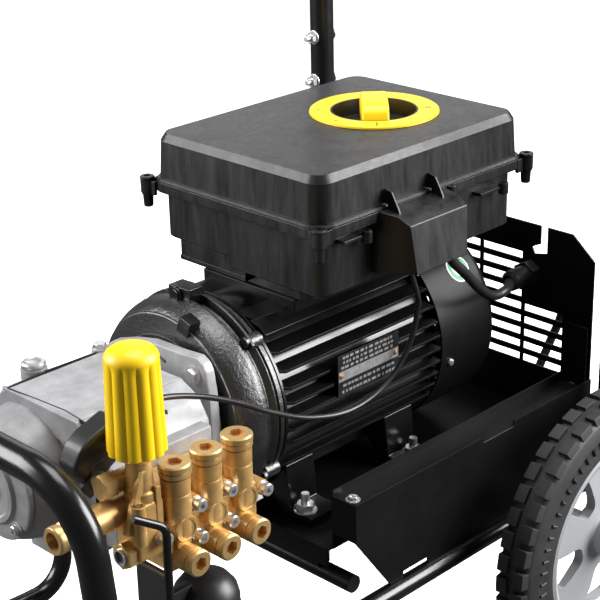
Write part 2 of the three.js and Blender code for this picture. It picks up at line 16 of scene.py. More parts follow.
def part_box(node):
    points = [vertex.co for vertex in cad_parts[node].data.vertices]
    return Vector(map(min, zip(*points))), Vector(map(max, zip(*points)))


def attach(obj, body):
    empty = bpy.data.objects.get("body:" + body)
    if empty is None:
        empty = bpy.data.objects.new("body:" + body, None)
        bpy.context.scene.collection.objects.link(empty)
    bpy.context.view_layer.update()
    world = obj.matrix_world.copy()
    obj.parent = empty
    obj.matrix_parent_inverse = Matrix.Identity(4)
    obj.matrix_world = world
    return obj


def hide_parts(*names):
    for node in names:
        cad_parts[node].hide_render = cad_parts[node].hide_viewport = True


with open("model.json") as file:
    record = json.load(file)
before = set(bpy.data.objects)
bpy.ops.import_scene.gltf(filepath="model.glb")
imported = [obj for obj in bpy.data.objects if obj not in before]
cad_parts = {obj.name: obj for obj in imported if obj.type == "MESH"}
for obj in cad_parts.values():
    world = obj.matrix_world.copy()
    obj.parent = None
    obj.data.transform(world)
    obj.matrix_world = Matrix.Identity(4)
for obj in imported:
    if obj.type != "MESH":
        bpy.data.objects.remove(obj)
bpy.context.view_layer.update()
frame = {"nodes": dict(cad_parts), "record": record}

# ---- the drawing's origin, taken from the middle plunger and the fan cover -----------------------
plunger_low, plunger_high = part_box("plunger_2")
cover_low, cover_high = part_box("fan_cover")
ORIGIN = Vector(((plunger_low.x + plunger_high.x) / 2, 0, (cover_low.z + cover_high.z) / 2))
FLOOR = -ORIGIN.z * 1000
ROOT = "machine_frame"


def row(p):
    return ORIGIN + Vector(p) / 1000


# ---- camera --------------------------------------------------------------------------------------
CAMERA_AT = (-1.1720, -1.2327, 1.1815)
CAMERA_TURN, CAMERA_TILT, CAMERA_ROLL = -0.783284, 0.391509, -0.023377
CAMERA_LENS = 99.83

across = Vector((math.cos(CAMERA_TURN), math.sin(CAMERA_TURN), 0))
ahead = Vector((
    -math.sin(CAMERA_TURN) * math.cos(CAMERA_TILT),
    math.cos(CAMERA_TURN) * math.cos(CAMERA_TILT),
    -math.sin(CAMERA_TILT),
))
upward = across.cross(ahead)
c, s = math.cos(CAMERA_ROLL), math.sin(CAMERA_ROLL)
side_axis, top_axis = across * c + upward * s, upward * c - across * s
camera = bpy.data.objects.new("camera", bpy.data.cameras.new("camera"))
bpy.context.scene.collection.objects.link(camera)
camera.data.lens = CAMERA_LENS
camera.data.sensor_width = 36
camera.data.clip_end = 100
turn = Matrix((side_axis, top_axis, -ahead)).transposed()
camera.matrix_world = Matrix.Translation(CAMERA_AT) @ turn.to_4x4()
bpy.context.scene.camera = camera


# ---- materials -----------------------------------------------------------------------------------
def scaled(color, k):
    return (*[min(1.0, v * k) for v in color], 1)


def surface(name, color, rough, metallic=0.0, tone=0.15, tone_scale=14.0, stretch=(1, 1, 1),
            grain=0.0, grain_scale=900.0, pits=0.0, pit_scale=320.0, rough_spread=0.06, coat=0.0,
            gleam=0.5):
    """Procedural surface: blotchy tone, uneven gloss, a fine grain and coarser pits."""
    mat = bpy.data.materials.new(name)
    mat.use_nodes = True
    nodes, links = mat.node_tree.nodes, mat.node_tree.links
    shader = nodes["Principled BSDF"]
    shader.inputs["Metallic"].default_value = metallic
    shader.inputs["Coat Weight"].default_value = coat
    shader.inputs["Specular IOR Level"].default_value = gleam
    shader.inputs["Coat Roughness"].default_value = 0.12
    where = nodes.new("ShaderNodeTexCoord").outputs["Object"]
    mapping = nodes.new("ShaderNodeMapping")
    mapping.inputs["Scale"].default_value = stretch
    links.new(where, mapping.inputs["Vector"])

    def noise(scale, detail=5.0):
        node = nodes.new("ShaderNodeTexNoise")
        node.inputs["Scale"].default_value = scale
        node.inputs["Detail"].default_value = detail
        node.inputs["Roughness"].default_value = 0.6
        links.new(mapping.outputs["Vector"], node.inputs["Vector"])
        return node.outputs["Fac"]

    ramp = nodes.new("ShaderNodeValToRGB")
    ramp.color_ramp.elements[0].position, ramp.color_ramp.elements[1].position = 0.3, 0.72
    ramp.color_ramp.elements[0].color = scaled(color, 1 - tone)
    ramp.color_ramp.elements[1].color = scaled(color, 1 + tone)
    links.new(noise(tone_scale), ramp.inputs["Fac"])
    links.new(ramp.outputs["Color"], shader.inputs["Base Color"])

    gloss = nodes.new("ShaderNodeMapRange")
    gloss.inputs["To Min"].default_value = max(0.02, rough - rough_spread)
    gloss.inputs["To Max"].default_value = rough + rough_spread
    links.new(noise(tone_scale * 4), gloss.inputs["Value"])
    links.new(gloss.outputs["Result"], shader.inputs["Roughness"])

    normal = None
    for strength, scale, depth in ((pits, pit_scale, 0.0008), (grain, grain_scale, 0.0003)):
        if strength:
            bump = nodes.new("ShaderNodeBump")
            bump.inputs["Strength"].default_value = strength
            bump.inputs["Distance"].default_value = depth
            links.new(noise(scale), bump.inputs["Height"])
            if normal:
                links.new(normal, bump.inputs["Normal"])
            normal = bump.outputs["Normal"]
    if normal:
        links.new(normal, shader.inputs["Normal"])
    return mat


PAINT = surface("black_powder_coat", (0.005, 0.005, 0.005), 0.24, tone=0.3, grain=0.12, grain_scale=700)
ROUGH_CAST = surface("rough_cast_paint", (0.011, 0.011, 0.011), 0.31, tone=0.5, tone_scale=60,
                     grain=0.7, grain_scale=600,
                     pits=1.0, pit_scale=210, rough_spread=0.1, gleam=1.0)
SATIN = surface("satin_black_paint", (0.005, 0.005, 0.005), 0.4, tone=0.3, grain=0.15, grain_scale=700,
                gleam=0.16)
PLASTIC = surface("grained_black_plastic", (0.0115, 0.0115, 0.012), 0.37, tone=0.85, tone_scale=42,
                  stretch=(1, 1, 0.16), grain=0.45,
                  grain_scale=1300, pits=0.14, pit_scale=240, rough_spread=0.14, gleam=0.34)
DARK_PLASTIC = surface("black_plastic", (0.014, 0.014, 0.015), 0.4, tone=0.2, grain=0.2)
RUBBER = surface("rubber", (0.016, 0.016, 0.016), 0.6, tone=0.3, grain=0.4, grain_scale=600)
TYRE = surface("tyre_rubber", (0.022, 0.022, 0.022), 0.58, tone=0.35, tone_scale=30, grain=0.4,
               grain_scale=500)
RIM = surface("grey_rim_plastic", (0.31, 0.32, 0.33), 0.42, tone=0.08, grain=0.12)
YELLOW = surface("yellow_plastic", (0.88, 0.58, 0.002), 0.4, tone=0.05, tone_scale=25, grain=0.1)
BRASS = surface("forged_brass", (0.66, 0.41, 0.15), 0.42, 0.7, tone=0.2, tone_scale=60, grain=0.4,
                grain_scale=1500, pits=0.12, pit_scale=500)
TURNED_Z = surface("turned_brass_upright", (0.66, 0.45, 0.19), 0.36, 0.75, tone=0.12, tone_scale=40,
                   stretch=(0.3, 0.3, 14), grain=0.25, grain_scale=200)
TURNED_Y = surface("turned_brass_across", (0.66, 0.45, 0.19), 0.36, 0.75, tone=0.12, tone_scale=40,
                   stretch=(0.3, 14, 0.3), grain=0.25, grain_scale=200)
COPPER = surface("copper_recess", (0.62, 0.28, 0.10), 0.4, 1.0, tone=0.2, tone_scale=90, grain=0.3)
ALLOY = surface("blasted_cast_alloy", (0.34, 0.34, 0.35), 0.5, 0.3, tone=0.2, tone_scale=45, grain=0.5,
                grain_scale=1100, pits=0.3, pit_scale=380, gleam=0.3)
STEEL = surface("zinc_plated_steel", (0.70, 0.70, 0.71), 0.3, 0.85, tone=0.1, tone_scale=120, grain=0.2)
WINDING = surface("enamelled_winding", (0.42, 0.16, 0.05), 0.35, 0.6, tone=0.35, tone_scale=60,
                  stretch=(1, 4, 4), grain=0.8, grain_scale=250)
CERAMIC = surface("white_ceramic", (0.82, 0.80, 0.74), 0.2, tone=0.04, grain=0.05)
CABLE = surface("cable_jacket", (0.012, 0.012, 0.012), 0.34, tone=0.3, grain=0.25, grain_scale=900)
RED = surface("red_plug_plastic", (0.42, 0.02, 0.015), 0.4, tone=0.12, grain=0.2)
GREY_PLASTIC = surface("switchgear_grey", (0.3, 0.3, 0.3), 0.5, tone=0.1, grain=0.3)
PLATE = surface("nameplate_black", (0.018, 0.018, 0.018), 0.3, 0.3, tone=0.3, tone_scale=80, grain=0.1)
PLATE_MARK = surface("nameplate_marks", (0.32, 0.32, 0.32), 0.4, 0.5, tone=0.3, tone_scale=200, grain=0.1)
WHITE = surface("label_white", (0.8, 0.8, 0.8), 0.4, tone=0.04, grain=0.05)
GREEN = surface("label_green", (0.01, 0.28, 0.10), 0.4, tone=0.12, tone_scale=300, grain=0.05)


# ---- mesh builders -------------------------------------------------------------------------------
def basis(direction):
    d = Vector(direction).normalized()
    u = Vector((0, 0, 1)).cross(d).normalized() if abs(d.z) < 0.99 else Vector((1, 0, 0))
    return u, d.cross(u), d


def circle(centre, direction, r, sides, start=0.0):
    u, v, _ = basis(direction)
    steps = [start + 2 * math.pi * i / sides for i in range(sides)]
    return [Vector(centre) + u * (r * math.cos(a)) + v * (r * math.sin(a)) for a in steps]


def hexagon(centre, direction, r, sides):
    """A hexagon of corner radius r, sampled at as many points as the circle round it."""
    u, v, _ = basis(direction)
    points = []
    for i in range(sides):
        a = 2 * math.pi * i / sides
        fold = (a + math.pi / 6) % (math.pi / 3) - math.pi / 6
        reach = r * math.cos(math.pi / 6) / math.cos(fold)
        points.append(Vector(centre) + u * (reach * math.cos(a)) + v * (reach * math.sin(a)))
    return points


class Shape:
    """Closed solids collected into one mesh, each with its own edge rounding."""

    def __init__(self):
        self.bm = bmesh.new()

    def add(self, bm, bevel=0.0, angle=28, segments=2):
        bmesh.ops.recalc_face_normals(bm, faces=bm.faces)
        if bevel:
            sharp = [e for e in bm.edges if e.is_manifold and e.calc_face_angle(0) > math.radians(angle)]
            bmesh.ops.bevel(bm, geom=sharp, offset=bevel, segments=segments, profile=0.5,
                            affect="EDGES", clamp_overlap=True)
        mesh = bpy.data.meshes.new("part")
        bm.to_mesh(mesh)
        bm.free()
        self.bm.from_mesh(mesh)
        bpy.data.meshes.remove(mesh)
        return self

    def loft(self, rings, closed=False, **edge):
        bm = bmesh.new()
        loops = [[bm.verts.new(p) for p in ring] for ring in rings]
        pairs = list(zip(loops, loops[1:])) + ([(loops[-1], loops[0])] if closed else [])
        for a, b in pairs:
            for i in range(len(a)):
                j = (i + 1) % len(a)
                bm.faces.new([a[i], a[j], b[j], b[i]])
        if not closed:
            bm.faces.new(loops[0][::-1])
            bm.faces.new(loops[-1])
        return self.add(bm, **edge)

    def box(self, x0, x1, y0, y1, z0, z1, **edge):
        return self.loft([[(x0, y0, z), (x1, y0, z), (x1, y1, z), (x0, y1, z)] for z in (z0, z1)], **edge)

    def prism(self, outline, axis, low, high, **edge):
        """A flat outline pushed along an axis: 'z' takes (x, y), 'y' takes (x, z), 'x' takes (y, z)."""
        place = {"z": lambda u, v, h: (u, v, h), "y": lambda u, v, h: (u, h, v), "x": lambda u, v,
                 h: (h, u, v)}[axis]
        return self.loft([[place(u, v, h) for u, v in outline] for h in (low, high)], **edge)

    def rod(self, a, b, r, sides=24, rb=None, **edge):
        d = Vector(b) - Vector(a)
        return self.loft([circle(a, d, r, sides), circle(b, d, r if rb is None else rb, sides)], **edge)

    def turned(self, profile, centre, direction, sides=40, closed=False, **edge):
        """Radius and height pairs turned about a line through centre."""
        d = Vector(direction).normalized()
        rings = [circle(Vector(centre) + d * h, d, max(r, 0.01), sides) for r, h in profile]
        return self.loft(rings, closed, **edge)

    def socket(self, centre, direction, r, height, hex_r, depth, chamfer=0.8, sides=24, foot=0.0):
        """Round head with a hexagon socket; its underside is at centre."""
        d = Vector(direction).normalized()
        at = lambda h: Vector(centre) + d * h
        rings = [circle(at(-foot), d, r, sides), circle(at(height - chamfer), d, r, sides),
                 circle(at(height), d, r - chamfer, sides), hexagon(at(height), d, hex_r, sides),
                 hexagon(at(height - depth), d, hex_r, sides)]
        return self.loft(rings)

    def hexnut(self, centre, direction, across, height, chamfer=0.8, washer=0.0, bore=0.0):
        d = Vector(direction).normalized()
        at = lambda h: Vector(centre) + d * h
        if washer:
            self.turned([(0, 0), (washer, 0), (washer, 1.3), (0, 1.3)], centre, d, 28, bevel=0.3)
        low = 1.3 if washer else 0.0
        r = across / math.sqrt(3)
        rings = [hexagon(at(low), d, r, 24), hexagon(at(low + height - chamfer), d, r, 24),
                 circle(at(low + height), d, across / 2 - 0.2, 24)]
        if bore:
            rings += [circle(at(low + height), d, bore, 24), circle(at(low + height - 1.5), d, bore, 24)]
        return self.loft(rings)

    def tube(self, points, r, sides=16):
        """Round bar along points, with its rings kept from twisting."""
        path = [Vector(p) for p in points]
        tangents = []
        for i, p in enumerate(path):
            before, after = path[max(0, i - 1)], path[min(len(path) - 1, i + 1)]
            tangents.append((after - before).normalized())
        u = basis(tangents[0])[0]
        rings = []
        for p, t in zip(path, tangents):
            u = (u - t * u.dot(t)).normalized()
            v = t.cross(u)
            steps = [2 * math.pi * i / sides for i in range(sides)]
            rings.append([p + (u * math.cos(a) + v * math.sin(a)) * r for a in steps])
        return self.loft(rings)

    def moved(self, matrix):
        self.bm.transform(matrix)
        return self

    def take(self, other):
        """Adds another Shape's solids to this one."""
        mesh = bpy.data.meshes.new("part")
        other.bm.to_mesh(mesh)
        other.bm.free()
        self.bm.from_mesh(mesh)
        bpy.data.meshes.remove(mesh)
        return self

    def piece(self, name, material, body=ROOT, replaces=(), smooth=40, cutters=()):
        """Finishes the mesh in the frame's metres, with soft shading and even normals."""
        mesh = bpy.data.meshes.new(name)
        self.bm.transform(Matrix.Translation(ORIGIN) @ Matrix.Scale(0.001, 4))
        self.bm.to_mesh(mesh)
        self.bm.free()
        obj = bpy.data.objects.new(name, mesh)
        bpy.context.scene.collection.objects.link(obj)
        for cutter in cutters:
            carve(obj, cutter)
        finish_mesh(obj, smooth)
        return dress(obj, material, body, replaces)


def carve(obj, cutter):
    """Takes a Shape out of the object for good."""
    mesh = bpy.data.meshes.new("cutter")
    cutter.bm.transform(Matrix.Translation(ORIGIN) @ Matrix.Scale(0.001, 4))
    cutter.bm.to_mesh(mesh)
    cutter.bm.free()
    tool = bpy.data.objects.new("cutter", mesh)
    bpy.context.scene.collection.objects.link(tool)
    modifier = obj.modifiers.new("cut", "BOOLEAN")
    modifier.object, modifier.operation, modifier.solver = tool, "DIFFERENCE", "EXACT"
    result = bpy.data.meshes.new_from_object(obj.evaluated_get(bpy.context.evaluated_depsgraph_get()))
    obj.modifiers.remove(modifier)
    old, obj.data = obj.data, result
    bpy.data.meshes.remove(old)
    bpy.data.objects.remove(tool)
    bpy.data.meshes.remove(mesh)


def finish_mesh(obj, smooth=40):
    mesh = obj.data
    mesh.polygons.foreach_set("use_smooth", [True] * len(mesh.polygons))
    mesh.set_sharp_from_angle(angle=math.radians(smooth))
    normals = obj.modifiers.new("even_normals", "WEIGHTED_NORMAL")
    normals.keep_sharp = True
    normals.weight = 60


def dress(obj, material, body=ROOT, replaces=()):
    obj.data.materials.clear()
    obj.data.materials.append(material)
    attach(obj, body)
    if replaces:
        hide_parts(*replaces)
    return obj


def body_of_node(node):
    bodies = frame["record"]["behaviour"]["bodies"]
    return next(b for b, members in bodies.items() if node in members)


def refined(node, material, bevel=0.0, smooth=30):
    """A copy of a CAD node with welded, cleaned and rounded edges, standing for it."""
    bm = bmesh.new()
    bm.from_mesh(frame["nodes"][node].data)
    bmesh.ops.remove_doubles(bm, verts=bm.verts, dist=1e-5)
    bmesh.ops.dissolve_limit(bm, angle_limit=math.radians(0.6), verts=bm.verts, edges=bm.edges)
    if bevel:
        sharp = [e for e in bm.edges if e.is_manifold and e.calc_face_angle(0) > math.radians(35)]
        bmesh.ops.bevel(bm, geom=sharp, offset=bevel / 1000, segments=2, profile=0.5,
                        affect="EDGES", clamp_overlap=True)
    mesh = bpy.data.meshes.new(f"{node}_shape")
    bm.to_mesh(mesh)
    bm.free()
    obj = bpy.data.objects.new(f"{node}_shape", mesh)
    bpy.context.scene.collection.objects.link(obj)
    finish_mesh(obj, smooth)
    return dress(obj, material, body_of_node(node), (node,))


def bent(corners, radius, step=5):
    """Corner points joined by straight runs, each corner rounded to the bend radius."""
    p = [Vector(q) for q in corners]
    path = [p[0]]
    for i in range(1, len(p) - 1):
        into, out = (p[i] - p[i - 1]).normalized(), (p[i + 1] - p[i]).normalized()
        angle = into.angle(out)
        start = p[i] - into * (radius * math.tan(angle / 2))
        side = (out - into * out.dot(into)).normalized()
        centre = start + side * radius
        steps = max(1, round(math.degrees(angle) / step))
        for k in range(steps + 1):
            a = angle * k / steps
            path.append(centre - side * (radius * math.cos(a)) + into * (radius * math.sin(a)))
    return path + [p[-1]]


def rounded(u0, u1, v0, v1, r, steps=6):
    points = []
    for cu, cv, start in ((u1 - r, v0 + r, -90), (u1 - r, v1 - r, 0), (u0 + r, v1 - r, 90),
                          (u0 + r, v0 + r, 180)):
        for i in range(steps + 1):
            a = math.radians(start + 90 * i / steps)
            points.append((cu + r * math.cos(a), cv + r * math.sin(a)))
    return points


def smooth_path(points, per_span=8):
    """Points along a Catmull-Rom curve through the given ones."""
    p = [Vector(q) for q in points]
    p = [p[0] * 2 - p[1]] + p + [p[-1] * 2 - p[-2]]
    out = []
    for i in range(1, len(p) - 2):
        for k in range(per_span):
            t = k / per_span
            a, b, q, d = p[i - 1], p[i], p[i + 1], p[i + 2]
            out.append(0.5 * (2 * b + (q - a) * t + (2 * a - 5 * b + 4 * q - d) * t ** 2
                              + (3 * b - a - 3 * q + d) * t ** 3))
    return out + [p[-2]]


# ---- mains cord: its run and its coil ------------------------------------------------------------
MAINS_ROUTE = [
    (620.3, -111, 43), (652, -111, 38), (678, -107, 12), (688, -97, -40), (689, -76, -95),
    (690, -56, -150), (695, -46, -215), (708, -46, -285), (732, -62, -345), (768, -95, -383),
    (806, -130, -394), (843, -160, -394), (860, -190, -394), (863, -222, -394),
]
CORD_R = 5.8
COIL_CENTRE = Vector((937, -260))
COIL_RADIUS = 62
LAY = 2 * CORD_R + 0.2


def coil_points():
    """Nine turns in three layers, wound in, out and in again."""
    layers = ((0.0, (LAY, 0, -LAY)), (0.87, (-LAY / 2, LAY / 2, 1.5 * LAY)), (1.74, (LAY, 0, -LAY)))
    floor_height = CORD_R + 0.2
    laid = [(COIL_RADIUS + offset, floor_height + k * LAY) for k, offsets in layers for offset in offsets]
    keys = [(152.8, 83.2, floor_height)]
    for i, (r, h) in enumerate(laid):
        keys += [(200 + 360 * i, r, h), (480 + 360 * i, r, h)]
    keys[-1] = (300 + 360 * len(laid), *laid[-1])
    points = []
    for (a0, r0, h0), (a1, r1, h1) in zip(keys, keys[1:]):
        steps = max(1, round((a1 - a0) / 10))
        for k in range(steps):
            t = k / steps
            ease = t * t * (3 - 2 * t)
            a = math.radians(a0 + (a1 - a0) * t)
            q = COIL_CENTRE + Vector((math.cos(a), math.sin(a))) * (r0 + (r1 - r0) * ease)
            points.append(Vector((q.x, q.y, FLOOR + h0 + (h1 - h0) * ease)))
    return points


LIFT = [(25.1, -43.5, 26.4), (45, -27, 32), (57.5, -5, 38), (62, 20, 39), (62, 38, 37.5), (62, 52, 34)]
over = [Vector((COIL_CENTRE.x + x, COIL_CENTRE.y + y, FLOOR + h)) for x, y, h in LIFT]
cord_line = smooth_path(MAINS_ROUTE, 5)[:-1] + coil_points() + smooth_path(over, 5)
cord = bpy.data.curves.new("mains_cable", "CURVE")
cord.dimensions = "3D"
cord.bevel_depth = CORD_R / 1000
cord.bevel_resolution = 4
cord.use_fill_caps = True
spline = cord.splines.new("POLY")
spline.points.add(len(cord_line) - 1)
for point, at in zip(spline.points, cord_line):
    point.co = (*row(at), 1)
spline.use_smooth = True
mains_cable = bpy.data.objects.new("mains_cable", cord)
bpy.context.scene.collection.objects.link(mains_cable)
dress(mains_cable, CABLE, ROOT, ("mains_cord", "mains_cord_coil"))


def mains_plug():
    """Industrial plug lying beside the coil: ribbed grip, collar and shrouded pins."""
    x, y, z = COIL_CENTRE.x + COIL_RADIUS, -208, FLOOR + 34
    body = Shape().turned(
        [(0, 0), (8, 0), (9, 20), (23, 32), (26, 60), (26.5, 94), (33.4, 100), (33.8, 104), (33.8, 149),
         (32.8, 150), (30, 150), (30, 112), (0, 112)], (x, y, z), (0, 1, 0), 48)
    for i in range(16):
        a = 2 * math.pi * i / 16
        dx, dz = math.cos(a), math.sin(a)
        body.rod((x + 25 * dx, y + 40, z + 25 * dz), (x + 26.6 * dx, y + 92, z + 26.6 * dz), 1.6, 8)
    pins = Shape()
    for i in range(5):
        a = math.pi / 2 + 2 * math.pi * i / 5
        px, pz = x + 17 * math.cos(a), z + 17 * math.sin(a)
        pins.rod((px, y + 108, pz), (px, y + 144, pz), 3.3, 16, bevel=0.8)
    plug = body.piece("plug_body", RED, replaces=("mains_plug",))
    return plug, pins.piece("plug_pins", STEEL)


# ---- tube frame ----------------------------------------------------------------------------------
LEG_FOOT = (-131, 234, -388)
HOOP_R, SIDE_R, HANDLE_R = 15, 11, 15
SIDE_Y, HANDLE_X, HANDLE_Y = 205, 598, 230
NEAR, FAR = ("left", -1), ("right", 1)
SHAFT = (0, 0, 0), (1, 0, 0)  # a point on the motor's axis, and its direction


def tube_frame():
    x, y, z = LEG_FOOT
    hoop = bent([(x, -y, z), (-176, -232, 105), (-176, 232, 105), (x, y, z)], 73, 3)
    Shape().tube(hoop, HOOP_R, 32).piece("front_hoop_tube", PAINT, replaces=("front_bumper_hoop",))
    for side, s in (NEAR, FAR):
        run = bent([
            (-124, s * 221, -303), (48, s * SIDE_Y, -299), (109, s * SIDE_Y, -299), (109, s * SIDE_Y, -200),
            (548, s * SIDE_Y, -200), (HANDLE_X, s * HANDLE_Y, -190), (HANDLE_X, s * HANDLE_Y, 310),
        ], 42, 4)
        Shape().tube(run, SIDE_R, 28).piece(f"side_run_{side}", PAINT, replaces=(f"side_tube_{side}",))
        foot = Shape().turned(
            [(0, -400), (21, -400), (23.5, -398), (24, -395), (22, -372), (21, -367), (19, -366),
             (0, -366)],
            (x - 1, s * y, 0), (0, 0, 1), 40)
        for k in range(3):
            foot.turned([(20, -388 + 7 * k), (24.4, -387 + 7 * k), (24.4, -385 + 7 * k),
                         (20, -384 + 7 * k)],
                        (x - 1, s * y, 0), (0, 0, 1), 40, closed=True)
        foot.piece(f"foot_{side}", RUBBER, replaces=(f"rubber_foot_{side}",))


def push_handle():
    grip = bent([
        (HANDLE_X, -HANDLE_Y, 150), (HANDLE_X, -HANDLE_Y, 465), (690, -HANDLE_Y, 600),
        (690, HANDLE_Y, 600), (HANDLE_X, HANDLE_Y, 465), (HANDLE_X, HANDLE_Y, 150),
    ], 60, 4)
    Shape().tube(grip, HANDLE_R, 32).piece("handle_tube", PAINT, replaces=("push_handle",))
    hardware = Shape()
    for _, s in (NEAR, FAR):
        for z in (224, 281):
            y = s * HANDLE_Y
            hardware.hexnut((HANDLE_X - 15, y, z), (-1, 0, 0), 13, 7, washer=9)
            hardware.rod((HANDLE_X - 22, y, z), (HANDLE_X - 30, y, z), 3.6, 16, bevel=0.6)
            hardware.turned([(0, 0), (9, 0), (9, 1.2), (7, 3.6), (4, 5.4), (0, 6)],
                            (HANDLE_X + 15, y, z), (1, 0, 0), 24)
    hardware.piece("handle_bolts", STEEL)


# ---- wheels --------------------------------------------------------------------------------------
WHEEL_X, WHEEL_Y, WHEEL_Z = 540, 270, -224


def wheel(side, s):
    body = f"wheel_{side}"
    centre, out = (WHEEL_X, s * WHEEL_Y, WHEEL_Z), (0, s, 0)
    tyre = Shape().turned(
        [(121.7, -20), (124, -22.6), (133, -23), (135, -21.6), (147, -21.4), (149, -23), (163, -21.5),
         (168, -18), (171, -13), (171, 13), (168, 18), (163, 21.5), (149, 23), (147, 21.4), (135, 21.6),
         (133, 23), (124, 22.6), (121.7, 20)], centre, out, 96, closed=True)
    blocks = 40
    for k in range(blocks):
        for h0, h1, shift in ((-20, -4, 0), (4, 20, 0.5)):
            a = 2 * math.pi * (k + shift) / blocks
            half = 2 * math.pi / blocks * 0.36
            profile = ((166, h0), (175.6, h0 * 0.9 if abs(h0) > 10 else h0),
                       (175.6, h1 * 0.9 if abs(h1) > 10 else h1), (166, h1))
            rings = []
            for b in (a - half, a, a + half):
                rings.append([(centre[0] + r * math.cos(b), centre[1] + s * h,
                               centre[2] + r * math.sin(b)) for r, h in profile])
            tyre.loft(rings, bevel=0.8, angle=40)
    for k in range(64):
        for h in (-22.6, 22.6):
            a = 2 * math.pi * k / 64
            u, v = math.cos(a), math.sin(a)
            tyre.rod((centre[0] + 137 * u, centre[1] + h, centre[2] + 137 * v),
                     (centre[0] + 146 * u, centre[1] + h, centre[2] + 146 * v), 1.7, 6)
    tyre.piece(f"tyre_{side}_tread", TYRE, body, (f"tyre_{side}",))

    disc = Shape().turned(
        [(10.2, -22), (23, -22), (25, -9), (98, -9), (112, -20), (121.5, -20.5), (121.5, 20.5),
         (117, 22), (112, 20), (98, -3), (70, 2), (30, 4), (25, 8), (23, 22), (10.2, 22)], centre, out,
         96, closed=True)
    cutters = []
    for k in range(5):
        window = rounded(42, 88, -15, 15, 9, 4)
        spread = [(u, v * (0.75 + 0.9 * (u - 42) / 46)) for u, v in window]
        turned = Matrix.Rotation(2 * math.pi * k / 5 + 0.3, 4, "Y")
        hole = Shape().prism(spread, "y", -40, 40)
        cutters.append(hole.moved(Matrix.Translation(centre) @ turned))
    disc.piece(f"rim_{side}_disc", RIM, body, (f"wheel_rim_{side}",), cutters=cutters)
    cap = Shape().turned([(0, 22), (16, 22), (17, 20), (17, 18), (0, 18)], centre, out, 32)
    cap.piece(f"rim_{side}_cap", DARK_PLASTIC, body)


# ---- sheet metal ---------------------------------------------------------------------------------
def sheet_metal():
    tray = Shape().box(180, 599.7, -170.5, 170.5, -135.3, -132.3, bevel=0.6)
    tray.box(180, 183, -170.5, 170.5, -154, -134, bevel=0.8)
    for x in (196, 560):
        tray.rod((x, -193.7, -172), (x, 193.7, -172), 10, 24)
        tray.box(x - 9, x + 9, -150, 150, -165, -134)
    tray.box(190, 262, -104, 104, -132.5, -131.9)
    tray.piece("tray_sheet", SATIN, replaces=("base_tray",))
    for side, s in (NEAR, FAR):
        def y(a, b):
            return min(s * a, s * b), max(s * a, s * b)

        skirt = [(187, -115), (241, -188.6), (262, -188.6), (262, -181), (302, -181), (302, -188.6),
                 (540, -188.6), (599.5, -172), (599.5, -69), (452, -69), (450, -76), (397, -76),
                 (395, -69), (187, -69)]
        panel = Shape().prism(skirt, "y", *y(203.6, 206), bevel=0.9, angle=20)
        panel.box(187.2, 599.4, *y(172, 204), -78, -76, bevel=0.4)
        panel.box(187.2, 599.4, *y(170.8, 173), -134, -64, bevel=0.6)
        panel.box(186.9, 189, *y(171, 205), -115, -70, bevel=0.6)
        panel.box(587, 589, *y(172, 205), -77, 0, bevel=0.5)
        panel.piece(f"panel_{side}", SATIN, replaces=(f"side_panel_{side}",))
        bolts = Shape()
        for x in (203, 594):
            bolts.hexnut((x, s * 187, -76), (0, 0, 1), 10, 3.5, washer=8, bore=2.6)
        bolts.piece(f"panel_{side}_bolts", STEEL)
    refined("rear_louvre_panel", SATIN)


# ---- motor ---------------------------------------------------------------------------------------
def about_shaft(deg):
    """Turns what stands on top of the motor to an angle from +Y towards +Z."""
    return Matrix.Rotation(math.radians(deg - 90), 4, "X")


FIN_LEVELS = (-61, -45, -29, -13.5, 2, 17.4, 33.4, 50.6, 68.7)


